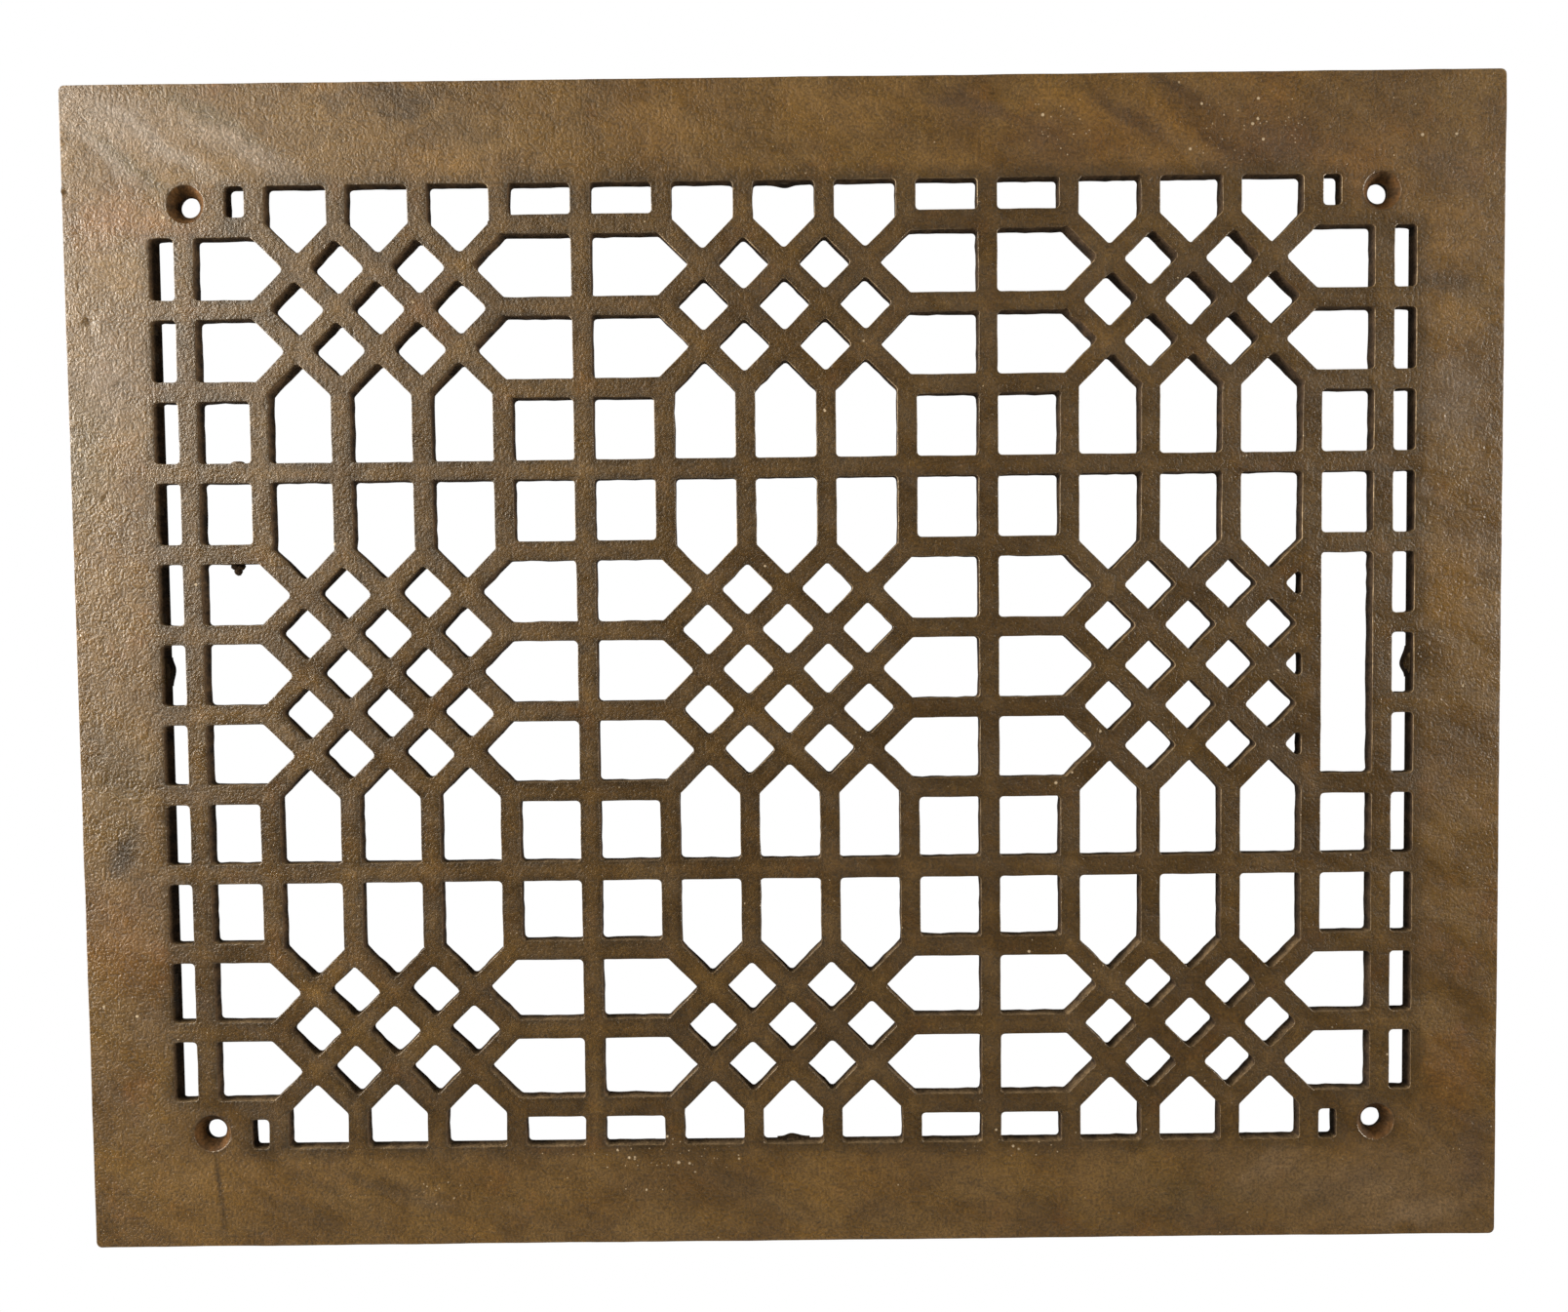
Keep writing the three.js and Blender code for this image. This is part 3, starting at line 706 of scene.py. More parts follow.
@dataclass
class CastingPlan:
    """The plan of the casting, read from the front of the CAD node.

    The CAD's flat-sided outlines are widened to the lattice's full bar width, their corners are rounded as
    the sand left them, and their sides are made slightly uneven. Lengths are millimetres.
    """

    bar_arris: float = 0.35
    plate_arris: float = 0.7
    corner_radius: float = 1.05
    plate_radius: float = 2.0
    corner_steps: int = 3
    plate_corner_steps: int = 6
    side_step: float = 2.8
    uneven_depth: float = 0.10
    uneven_length: float = 7.0
    edge_uneven: float = 0.14
    screw_sides: int = 36
    screw_bore: float = 6.0
    loops: list[PlanLoop] = field(default_factory=list)
    screws: list[tuple[float, float]] = field(default_factory=list)
    field_half: tuple[float, float] = (0.0, 0.0)

    def read(self, node: bpy.types.Object) -> None:
        """Reads the outlines from the node and finishes them.

        Args:
            node: The CAD node, which is left as it is.
        """
        outlines = sorted(self._front_outlines(node), key=np.ptp, reverse=True)
        self.loops.append(self._plate_edge(outlines[0]))
        half = np.abs(np.concatenate(outlines[1:])).max(axis=0) - self.bar_arris
        self.field_half = (float(half[0]), float(half[1]))
        for outline in outlines[1:]:
            corners = self._without_flat_points(outline)
            if len(corners) > 10:
                self._add_screw(corners)
            else:
                self.loops.append(self._opening(corners))

    def _front_outlines(self, node: bpy.types.Object) -> list[np.ndarray]:
        """Follows the borders of the node's front face.

        Args:
            node: The CAD node.

        Returns:
            Closed outlines in millimetres, each with the metal on its left.
        """
        mesh = bmesh.new()
        mesh.from_mesh(node.data)
        bmesh.ops.remove_doubles(mesh, verts=mesh.verts, dist=TOUCHING)
        mesh.verts.index_update()
        mesh.verts.ensure_lookup_table()
        front = min(vert.co.y for vert in mesh.verts)
        faces = [
            face for face in mesh.faces
            if all(abs(vert.co.y - front) < TOUCHING for vert in face.verts)
        ]
        in_front = set(faces)
        following = {}
        for face in faces:
            for corner in face.loops:
                if sum(other in in_front for other in corner.edge.link_faces) == 1:
                    following[corner.vert.index] = corner.link_loop_next.vert.index
        outlines = []
        while following:
            start, here = following.popitem()
            chain = [start]
            while here != start:
                chain.append(here)
                here = following.pop(here)
            places = [mesh.verts[index].co for index in chain]
            outlines.append(np.array([(place.x, place.z) for place in places]) / MM)
        mesh.free()
        return outlines

    def _without_flat_points(self, outline: np.ndarray) -> np.ndarray:
        """Drops the points that lie on a straight side.

        Args:
            outline: A closed outline.

        Returns:
            Its corners.
        """
        before = outline - np.roll(outline, 1, axis=0)
        after = np.roll(outline, -1, axis=0) - outline
        cross = before[:, 0] * after[:, 1] - before[:, 1] * after[:, 0]
        reach = np.hypot(*before.T) * np.hypot(*after.T)
        return outline[np.abs(cross) > 0.01 * reach]

    def _widened(self, corners: np.ndarray, amount: float) -> np.ndarray:
        """Moves every side of an outline away from the metal.

        Args:
            corners: The outline's corners.
            amount: How far the metal grows.

        Returns:
            The moved corners.
        """
        along = np.roll(corners, -1, axis=0) - corners
        along /= np.hypot(*along.T)[:, None]
        away = np.column_stack([along[:, 1], -along[:, 0]])
        earlier = np.roll(away, 1, axis=0)
        mitre = away + earlier
        mitre *= (2.0 / (mitre ** 2).sum(axis=1))[:, None]
        return corners + mitre * amount

    def _rounded(self, corners: np.ndarray, radius: float, steps: int) -> np.ndarray:
        """Rounds an outline's corners and splits its straight sides into short ones.

        Args:
            corners: The outline's corners.
            radius: The radius wanted, which short sides make smaller.
            steps: How many sides each rounding has.

        Returns:
            The points of the rounded outline.
        """
        count = len(corners)
        runs = []
        for k in range(count):
            here = corners[k]
            back = corners[k - 1] - here
            ahead = corners[(k + 1) % count] - here
            back_length, ahead_length = np.hypot(*back), np.hypot(*ahead)
            back, ahead = back / back_length, ahead / ahead_length
            half = math.acos(float(np.clip(back @ ahead, -1.0, 1.0))) / 2.0
            tangent = min(radius / math.tan(half), 0.36 * back_length, 0.36 * ahead_length)
            size = tangent * math.tan(half)
            middle = (back + ahead) / np.hypot(*(back + ahead))
            centre = here + middle * (size / math.sin(half))
            first = here + back * tangent - centre
            last = here + ahead * tangent - centre
            turn = math.atan2(first[0] * last[1] - first[1] * last[0], first @ last)
            start = math.atan2(first[1], first[0])
            angles = start + turn * np.linspace(0.0, 1.0, steps + 1)
            runs.append(centre + size * np.column_stack([np.cos(angles), np.sin(angles)]))
        points = []
        for k, run in enumerate(runs):
            points.extend(run)
            to = runs[(k + 1) % count][0]
            parts = max(1, math.ceil(np.hypot(*(to - run[-1])) / self.side_step))
            points.extend(run[-1] + (to - run[-1]) * (part / parts) for part in range(1, parts))
        return np.array(points)

    def _away(self, points: np.ndarray) -> np.ndarray:
        """The direction away from the metal at each point of an outline.

        Args:
            points: The outline.

        Returns:
            One unit direction a point.
        """
        along = np.roll(points, -1, axis=0) - np.roll(points, 1, axis=0)
        along /= np.hypot(*along.T)[:, None]
        return np.column_stack([along[:, 1], -along[:, 0]])

    def _plate_edge(self, outline: np.ndarray) -> PlanLoop:
        """The plate's outer edge, which never passes the CAD's.

        Args:
            outline: The outer border of the CAD's front face.

        Returns:
            The finished outline.
        """
        low = outline.min(axis=0) - self.plate_arris
        high = outline.max(axis=0) + self.plate_arris
        corners = np.array([low, (high[0], low[1]), high, (low[0], high[1])])
        points = self._rounded(corners, self.plate_radius, self.plate_corner_steps)
        away = self._away(points)
        wave = np.array([
            noise.noise(Vector((x, z, 0.0)) / (3.0 * self.uneven_length)) for x, z in points
        ])
        return PlanLoop(points - away * (self.edge_uneven * (1.0 + wave))[:, None], away, True)

    def _opening(self, corners: np.ndarray) -> PlanLoop:
        """One opening of the lattice.

        Args:
            corners: Its corners on the CAD's front face.

        Returns:
            The finished outline.
        """
        narrow = self._widened(corners, self.bar_arris)
        points = self._rounded(narrow, self.corner_radius, self.corner_steps)
        away = self._away(points)
        wave = [
            layered_noise(Vector((x, z, 20.0)), self.uneven_length, 0.4 * self.uneven_length, 40.0)
            for x, z in points
        ]
        return PlanLoop(points + away * (self.uneven_depth * np.array(wave))[:, None], away, False)

    def _add_screw(self, corners: np.ndarray) -> None:
        """A round bore in place of the CAD's flat-sided one.

        Args:
            corners: The rim of the countersink on the CAD's front face.
        """
        centre = (corners.min(axis=0) + corners.max(axis=0)) / 2.0
        self.screws.append((float(centre[0]), float(centre[1])))
        angles = -np.arange(self.screw_sides) * (2.0 * math.pi / self.screw_sides)
        ring = np.column_stack([np.cos(angles), np.sin(angles)])
        self.loops.append(PlanLoop(centre + ring * self.screw_bore / 2.0, -ring, False))


@dataclass
class Turning:
    """A round body turned about an axis that runs from the front to the back.

    Args:
        profile: Radius and depth of each step, from the front to the back, in millimetres.
        sides: How many sides it has.
    """

    profile: Sequence[tuple[float, float]]
    sides: int = 40

    def make(self, name: str, centre: tuple[float, float]) -> bpy.types.Object:
        """Turns the body.

        Args:
            name: The new object's name.
            centre: Where its axis is in the plan.

        Returns:
            The closed body.
        """
        x, z = centre
        clear_selection()
        radius, depth = self.profile[0]
        bpy.ops.mesh.primitive_circle_add(
            vertices=self.sides, radius=radius * MM, fill_type="NGON",
            location=(x * MM, depth * MM, z * MM), rotation=(math.radians(90.0), 0.0, 0.0),
        )
        piece = bpy.context.active_object
        piece.name = name
        bpy.ops.object.transform_apply(location=True, rotation=True, scale=True)
        bpy.ops.object.mode_set(mode="EDIT")
        bpy.ops.mesh.select_all(action="SELECT")
        for wider, deeper in self.profile[1:]:
            bpy.ops.mesh.extrude_region_move(
                TRANSFORM_OT_translate={"value": (0.0, (deeper - depth) * MM, 0.0)}
            )
            share = wider / radius
            bpy.ops.transform.resize(
                value=(share, 1.0, share), center_override=(x * MM, deeper * MM, z * MM)
            )
            radius, depth = wider, deeper
        finish_solid()
        return piece


@dataclass(frozen=True)
class Lug:
    """A low swell on the inner side of the back rim.

    Args:
        side: The side of the plate that it is on.
        rise: How far it stands in, in millimetres.
        length: Its length along the side.
        shift: How far it is from the side's middle, to the right or up.
        sharpness: 1 for a bell, more for a pointed one.
    """

    side: Side
    rise: float
    length: float
    shift: float = 0.0
    sharpness: float = 1.0


@dataclass
class BackRim:
    """The low rim behind the plate, round the pierced field, with a lug in the middle of each side."""

    depth: float = 1.3
    wall: float = 3.2
    inner_gap: float = 0.3
    embed: float = 1.5
    corner_radius: float = 2.0
    arris: float = 0.35
    lug_depth: float = 4.0
    lugs: tuple[Lug, ...] = (
        Lug(Side.LEFT, 1.5, 9.6, 0.0),
        Lug(Side.RIGHT, 0.9, 9.0, 1.0),
        Lug(Side.TOP, 0.9, 10.0, 0.0, 1.6),
        Lug(Side.BOTTOM, 0.8, 10.0, 0.0, 1.3),
    )

    def add_to(self, body: bpy.types.Object, field_half: tuple[float, float]) -> None:
        """Adds the rim and its lugs to the casting.

        Args:
            body: The casting.
            field_half: Half the pierced field's width and height.
        """
        join_solids(body, self._ring(field_half), "UNION")
        for lug in self.lugs:
            join_solids(body, self._swell(lug, field_half), "UNION")

    def _ring(self, field_half: tuple[float, float]) -> bpy.types.Object:
        """The rim itself.

        Args:
            field_half: Half the pierced field's width and height.

        Returns:
            The closed ring.
        """
        outer = [half + self.wall for half in field_half]
        clear_selection()
        bpy.ops.mesh.primitive_cube_add(
            size=1.0, location=(0.0, (self.depth - self.embed) / 2.0 * MM, 0.0),
            scale=(2.0 * outer[0] * MM, (self.depth + self.embed) * MM, 2.0 * outer[1] * MM),
        )
        ring = bpy.context.active_object
        ring.name = "back_rim"
        bpy.ops.object.transform_apply(location=True, rotation=True, scale=True)
        bpy.ops.object.mode_set(mode="EDIT")
        bpy.ops.mesh.select_mode(type="FACE")
        bpy.ops.mesh.select_all(action="DESELECT")
        mesh = bmesh.from_edit_mesh(ring.data)
        for face in mesh.faces:
            face.select_set(abs(face.normal.y) > 0.9)
        bmesh.update_edit_mesh(ring.data)
        bpy.ops.mesh.inset(thickness=(self.wall - self.inner_gap) * MM, use_individual=True)
        bpy.ops.mesh.bridge_edge_loops()
        self._soften(ring, self.corner_radius, 4, lambda edge: (
            abs(edge.verts[0].co.y - edge.verts[1].co.y) > self.depth * MM
            and abs(edge.verts[0].co.x) > (outer[0] - 1.0) * MM
        ))
        self._soften(ring, self.arris, 2, lambda edge: (
            all(abs(vert.co.y - self.depth * MM) < TOUCHING for vert in edge.verts)
            and edge.calc_face_angle(0.0) > 1.0
        ))
        finish_solid()
        return ring

    def _soften(self, ring: bpy.types.Object, amount: float, segments: int,
                chosen: Callable[[bmesh.types.BMEdge], bool]) -> None:
        """Bevels some of the ring's edges.

        Args:
            ring: The ring, in edit mode.
            amount: The bevel's width, in millimetres.
            segments: How many sides it has.
            chosen: Tells whether an edge is bevelled.
        """
        bpy.ops.mesh.select_mode(type="EDGE")
        bpy.ops.mesh.select_all(action="DESELECT")
        mesh = bmesh.from_edit_mesh(ring.data)
        for edge in mesh.edges:
            edge.select_set(chosen(edge))
        bmesh.update_edit_mesh(ring.data)
        bpy.ops.mesh.bevel(offset=amount * MM, segments=segments, profile=0.5, affect="EDGES")

    def _swell(self, lug: Lug, field_half: tuple[float, float]) -> bpy.types.Object:
        """Shapes one lug.

        Args:
            lug: The lug.
            field_half: Half the pierced field's width and height.

        Returns:
            The closed lug.
        """
        clear_selection()
        columns, rows = 20, 5
        bpy.ops.mesh.primitive_grid_add(x_subdivisions=columns, y_subdivisions=rows, size=1.0)
        piece = bpy.context.active_object
        piece.name = "rim_lug"
        bpy.ops.object.mode_set(mode="EDIT")
        bpy.ops.mesh.select_all(action="SELECT")
        bpy.ops.mesh.extrude_region_move(TRANSFORM_OT_translate={"value": (0.0, 0.0, -1.0)})
        mesh = bmesh.from_edit_mesh(piece.data)
        across, up = lug.side.value
        distance = field_half[0] if across else field_half[1]
        for vert in mesh.verts:
            along, deep, top = vert.co
            bell = (0.5 + 0.5 * math.cos(2.0 * math.pi * along)) ** lug.sharpness
            shoulder = math.sqrt(max(0.0, min(1.0, (deep + 0.5) / 0.45)))
            skew = along + 0.06 * bell
            inwards = lug.rise * bell * shoulder - 0.15 if top > -0.5 else -self.embed
            reach = inwards - distance
            depth = self.depth - self.lug_depth * (0.5 - deep)
            level = skew * lug.length * (across - up)
            vert.co = Vector((
                across * reach + abs(up) * (level + lug.shift), depth,
                up * reach + abs(across) * (level + lug.shift),
            )) * MM
        bmesh.update_edit_mesh(piece.data)
        finish_solid()
        return piece


@dataclass(frozen=True)
class Blob:
    """A bit of metal that the sand let through.

    Args:
        place: Its middle: x, depth and z, in millimetres.
        size: Its half sizes along x, depth and z.
        rough: How uneven it is, as a share of its size.
        wall_finish: True if it is as dark as the openings' walls.
    """

    place: tuple[float, float, float]
    size: tuple[float, float, float]
    rough: float = 0.2
    # The blobs with this flag take the walls' soot and painted shade.
    wall_finish: bool = True

    def holds(self, place: Vector) -> bool:
        """Tells whether a place, in metres, lies in the blob or on it."""
        sides = zip(place, self.place, self.size)
        return all(abs(at / MM - middle) < 1.25 * half for at, middle, half in sides)

    def make(self) -> bpy.types.Object:
        """Makes the closed blob.

        Returns:
            The blob.
        """
        clear_selection()
        bpy.ops.mesh.primitive_ico_sphere_add(subdivisions=3, radius=1.0)
        blob = bpy.context.active_object
        blob.name = "casting_blob"
        bpy.ops.object.mode_set(mode="EDIT")
        mesh = bmesh.from_edit_mesh(blob.data)
        for vert in mesh.verts:
            wave = noise.noise(vert.co * 1.7 + Vector(self.place))
            moved = vert.co * (1.0 + self.rough * wave)
            vert.co = Vector([at + half * part for at, half, part in zip(self.place, self.size, moved)]) * MM
        bmesh.update_edit_mesh(blob.data)
        bpy.ops.object.mode_set(mode="OBJECT")
        return blob


@dataclass(frozen=True)
class Pit:
    """A small pit in the face, where sand washed into the mould.

    Args:
        place: Its middle in the plan, in millimetres.
        radius: Its radius.
        depth: Its depth.
    """

    place: tuple[float, float]
    radius: float
    depth: float

    def net(self) -> list[tuple[float, float]]:
        """The points that shape the pit: its middle and three rings.

        Returns:
            Places in the plan.
        """
        x, z = self.place
        places = [self.place]
        for share, count in ((0.5, 7), (0.95, 11), (1.35, 13)):
            angles = np.arange(count) * (2.0 * math.pi / count)
            uneven = 1.0 + 0.18 * np.sin(2.0 * angles + x) + 0.1 * np.sin(3.0 * angles + z)
            reach = self.radius * share * uneven
            places.extend(zip(x + reach * np.cos(angles), z + reach * np.sin(angles)))
        return places

    @property
    def net_reach(self) -> float:
        """How far from the middle the net of the face starts again."""
        return 1.35 * self.radius + 1.2

    def dip(self, x: float, z: float) -> float:
        """How deep the pit is at a place in the plan, in millimetres."""
        share = math.hypot(x - self.place[0], z - self.place[1]) / (1.1 * self.radius)
        return self.depth * max(0.0, 1.0 - share ** 2)


@dataclass(frozen=True)
class Slope:
    """A part of the lattice where the openings' walls slope, their front edges standing further back.

    Args:
        place: The middle of the part, in millimetres.
        size: Half its width and height.
        towards: The unit direction in which the front edges stand back.
        amount: How far they do at the middle.
    """

    place: tuple[float, float]
    size: tuple[float, float]
    towards: tuple[float, float]
    amount: float

    def back(self, x: float, z: float, way: np.ndarray) -> float:
        """How far the front edge stands back at a place.

        Args:
            x: The place along x.
            z: The place along z.
            way: The direction away from the metal there.

        Returns:
            The distance, in millimetres.
        """
        share = math.hypot((x - self.place[0]) / self.size[0], (z - self.place[1]) / self.size[1])
        turned = max(0.0, -(way[0] * self.towards[0] + way[1] * self.towards[1]))
        return self.amount * max(0.0, min(1.0, 3.0 * (1.0 - share))) * turned ** 4


@dataclass
class Casting:
    """The grille itself: one iron casting. Lengths are millimetres.

    Args:
        plan: Its plan, already read from the CAD node.
        net_step: How far the points of its flat sides are apart.
        edge_gap: How near to an outline such a point may be.
        back_waves: The lengths of the long and the short waves in the back edges.
        unevenness: The length and depth of each size of dip in its surfaces.
        wall_lean: The most of a wall's normal that is along y.
        face_lean: The least of the face's normal that is.
    """

    plan: CastingPlan
    thickness: float = 5.2
    net_step: float = 3.0
    edge_gap: float = 1.95
    back_uneven: float = 0.24
    back_waves: tuple[float, float] = (4.5, 1.9)
    front_round: float = 0.3
    back_round: float = 0.25
    unevenness: tuple = ((9.0, 0.16), (3.6, 0.07))
    deepest_reach: float = 6.0
    countersink: float = 11.1
    countersink_angle: float = 82.0
    field_edge: float = 0.6
    wall_lean: float = 0.3
    face_lean: float = 0.9
    sharp_angle: float = 50.0
    rim: BackRim = field(default_factory=BackRim)
    finish: OldIron = OldIron()
    blobs: tuple[Blob, ...] = (
        Blob((-169.4, -1.7, 33.3), (1.5, 1.4, 1.2)),
        Blob((-167.7, -1.5, 33.2), (1.3, 1.4, 1.3)),
        Blob((-168.6, -1.6, 31.8), (1.35, 1.2, 1.5)),
        Blob((-167.1, -3.2, 64.6), (2.1, 1.2, 0.75), wall_finish=False),
    )
    pits: tuple[Pit, ...] = (
        Pit((-210.2, 107.1), 1.7, 0.45),
        Pit((-216.0, 145.8), 1.1, 0.35),
        Pit((-208.6, 138.5), 1.2, 0.25),
        Pit((-207.1, 54.2), 1.3, 0.3),
    )
    slopes: tuple[Slope, ...] = (
        Slope((-110.0, 100.0), (74.0, 60.0), (-0.707, 0.707), 0.75),
        Slope((-110.0, 100.0), (74.0, 60.0), (0.707, -0.707), 0.5),
        Slope((-110.0, 0.0), (74.0, 60.0), (-0.707, 0.707), 0.5),
        Slope((-110.0, 0.0), (74.0, 60.0), (0.707, -0.707), 0.5),
        Slope((-110.0, -100.0), (74.0, 60.0), (0.707, -0.707), 0.4),
        Slope((110.0, 100.0), (74.0, 60.0), (0.707, 0.707), 1.1),
        Slope((110.0, -100.0), (74.0, 60.0), (0.707, -0.707), 0.4),
        Slope((-188.0, 0.0), (12.0, 230.0), (-1.0, 0.0), 0.9),
        Slope((-166.0, 60.0), (12.0, 130.0), (-1.0, 0.0), 0.5),
    )

    def build(self) -> bpy.types.Object:
        """Builds the whole casting.

        Returns:
            The finished object.
        """
        piece = self._sheet()
        self._give_thickness(piece)
        self.rim.add_to(piece, self.plan.field_half)
        self._sink_screws(piece)
        for blob in self.blobs:
            join_solids(piece, blob.make(), "UNION")
        self._make_uneven(piece)
        self._dress(piece)
        return piece

    def _sink_screws(self, piece: bpy.types.Object) -> None:
        """Cuts a countersink with a softened edge at each screw hole.

        Args:
            piece: The casting.
        """
        front = -self.thickness
        bore = self.plan.screw_bore / 2.0
        head = self.countersink / 2.0
        slope = math.tan(math.radians(self.countersink_angle / 2.0))
        floor = front + (head - bore) / slope
        cutter = Turning((
            (head + 0.6, front - 1.0), (head + 0.4, front - 0.02), (head + 0.2, front + 0.06),
            (head, front + 0.2), (bore + 0.3, floor), (bore + 0.05, floor + 0.45), (bore - 0.2, floor + 0.6),
        ))
        for centre in self.plan.screws:
            join_solids(piece, cutter.make("countersink", centre), "DIFFERENCE")

    def _make_uneven(self, piece: bpy.types.Object) -> None:
        """Lets the surfaces dip gently, as sand castings do, and never past the CAD's box.

        Args:
            piece: The casting.
        """
        for length, depth in self.unevenness:
            texture = bpy.data.textures.new("cast_unevenness", "CLOUDS")
            texture.noise_scale = length * MM
            texture.noise_depth = 2
            displace = piece.modifiers.new("uneven", "DISPLACE")
            displace.texture = texture
            displace.texture_coords = "LOCAL"
            displace.strength = depth * MM
            displace.mid_level = 1.0
            apply_modifier(piece, displace)
        for vert in piece.data.vertices:
            vert.co.y = min(max(vert.co.y, -self.thickness * MM), self.rim.depth * MM)

    def _dress(self, piece: bpy.types.Object) -> None:
        """Gives the faces and the walls their finishes and shades the casting smooth.

        Args:
            piece: The casting.
        """
        piece.data.materials.clear()
        for zone in Zone:
            piece.data.materials.append(self.finish.make(zone))
        zones = list(Zone)
        for face in piece.data.polygons:
            face.material_index = zones.index(self._zone_of(face))
        self._mark_reach(piece)
        make_active(piece)
        bpy.ops.object.shade_smooth_by_angle(angle=math.radians(self.sharp_angle))
        weighted = piece.modifiers.new("flat_faces_stay_flat", "WEIGHTED_NORMAL")
        weighted.keep_sharp = True
        apply_modifier(piece, weighted)

    def _mark_reach(self, piece: bpy.types.Object) -> None:
        """Stores at every point how far it is from the nearest opening, for the grime and painted shade along
        the openings and the painted highlight on their edges.

        Args:
            piece: The casting.
        """
        samples = []
        for loop in self.plan.loops:
            if not loop.is_edge:
                ahead = np.roll(loop.points, -1, axis=0)
                shares = (0.0, 0.25, 0.5, 0.75)
                samples.extend(loop.points + (ahead - loop.points) * share for share in shares)
        tree = plan_tree(np.concatenate(samples))
        marks = piece.data.attributes.new(REACH, "FLOAT", "POINT")
        for vert, mark in zip(piece.data.vertices, marks.data):
            x, _, z = vert.co / MM
            mark.value = min(self.deepest_reach, tree.find((x, z, 0.0))[2])

    def _zone_of(self, face: bpy.types.MeshPolygon) -> Zone:
        """Tells which finish a face of the casting takes: how it has aged and, for the walls, their painted
        shade.

        Args:
            face: The face.

        Returns:
            Its zone.
        """
        lean = face.normal.y
        if not self._in_opening(face.center):
            return Zone.WORN
        blob = any(each.wall_finish and each.holds(face.center) for each in self.blobs)
        if abs(lean) < self.wall_lean or blob:
            return Zone.SOOTY_SHADED
        return Zone.RUSTED if lean > -self.face_lean and self._in_sink(face.center) else Zone.WORN

    def _in_opening(self, place: Vector) -> bool:
        """Tells whether a place, in metres, is in the pierced field."""
        half_x, half_z = ((half + self.field_edge) * MM for half in self.plan.field_half)
        return abs(place.x) < half_x and abs(place.z) < half_z

    def _in_sink(self, place: Vector) -> bool:
        """Tells whether a place, in metres, is in a countersink."""
        reach = min(math.hypot(place.x / MM - x, place.z / MM - z) for x, z in self.plan.screws)
        return reach < self.countersink / 2.0 + 0.1 and place.y < -0.2 * self.thickness * MM

    def _net(self, points: np.ndarray) -> np.ndarray:
        """Points spread evenly over the metal between the outlines.

        Args:
            points: Every point of the outlines.

        Returns:
            The inner points.
        """
        low, high = points.min(axis=0), points.max(axis=0)
        rise = self.net_step * math.sqrt(3.0) / 2.0
        rows = int((high[1] - low[1]) / rise)
        columns = int((high[0] - low[0]) / self.net_step)
        net = np.array([
            (low[0] + (column + 0.5 * (row % 2)) * self.net_step, low[1] + row * rise)
            for row in range(rows + 1) for column in range(columns + 1)
        ])
        tree = plan_tree(points)
        clear = np.array([tree.find((x, z, 0.0))[2] > self.edge_gap for x, z in net])
        for pit in self.pits:
            clear &= np.hypot(*(net - pit.place).T) > pit.net_reach
        spread = net[clear & self._in_metal(net)]
        return np.concatenate([spread, *(np.array(pit.net()) for pit in self.pits)])

    def _in_metal(self, places: np.ndarray) -> np.ndarray:
        """Tells which places lie in the metal.

        Args:
            places: Points of the plan.

        Returns:
            True for each place in the metal.
        """
        inside = np.zeros(len(places), bool)
        for loop in self.plan.loops:
            low, high = loop.points.min(axis=0), loop.points.max(axis=0)
            near = np.flatnonzero(((places >= low) & (places <= high)).all(axis=1))
            x, z = places[near, 0:1], places[near, 1:2]
            x0, z0 = loop.points.T
            x1, z1 = np.roll(loop.points, -1, axis=0).T
            straddles = (z0 > z) != (z1 > z)
            with np.errstate(divide="ignore", invalid="ignore"):
                meets = x < x0 + (z - z0) * (x1 - x0) / (z1 - z0)
            inside[near] ^= (straddles & meets).sum(axis=1) % 2 == 1
        return inside

    def _sheet(self) -> bpy.types.Object:
        """The flat front sheet of metal, pierced by every opening.

        Returns:
            The sheet.
        """
        rings = [loop.points for loop in self.plan.loops]
        border = np.concatenate(rings)
        places = np.concatenate([border, self._net(border)])
        edges, start = [], 0
        for ring in rings:
            count = len(ring)
            edges.extend((start + k, start + (k + 1) % count) for k in range(count))
            start += count
        flat = [Vector(place) for place in places.tolist()]
        points, _, faces, *_ = delaunay_2d_cdt(flat, edges, [], 0, EXACT)
        points = np.array([tuple(point) for point in points])
        corners = np.array([tuple(face) for face in faces])
        corners = corners[self._in_metal(points[corners].mean(axis=1))]
        front = -self.thickness
        mesh = bpy.data.meshes.new("iron_casting")
        mesh.from_pydata([(x * MM, front * MM, z * MM) for x, z in points], [], corners.tolist())
        mesh.validate()
        piece = bpy.data.objects.new("iron_casting", mesh)
        bpy.context.scene.collection.objects.link(piece)
        LOG.info("sheet: %d points, %d faces", len(points), len(corners))
        return piece

    def _give_thickness(self, piece: bpy.types.Object) -> None:
        """Extrudes the sheet to the back, draws its walls in and softens its edges.

        Args:
            piece: The sheet, which becomes a solid.
        """
        make_active(piece)
        bpy.ops.object.mode_set(mode="EDIT")
        bpy.ops.mesh.select_all(action="SELECT")
        bpy.ops.mesh.extrude_region_move(
            TRANSFORM_OT_translate={"value": (0.0, self.thickness * MM, 0.0)}
        )
        self._roughen_back(piece)
        bpy.ops.mesh.select_all(action="SELECT")
        bpy.ops.mesh.normals_make_consistent(inside=False)
        self._select_rim_edges(piece, -self.thickness)
        bpy.ops.mesh.bevel(offset=self.front_round * MM, segments=2, profile=0.5, affect="EDGES",
                           clamp_overlap=False, loop_slide=False)
        self._select_rim_edges(piece, 0.0)
        bpy.ops.mesh.bevel(offset=self.back_round * MM, segments=1, profile=0.5, affect="EDGES",
                           clamp_overlap=False, loop_slide=False)
        bpy.ops.object.mode_set(mode="OBJECT")

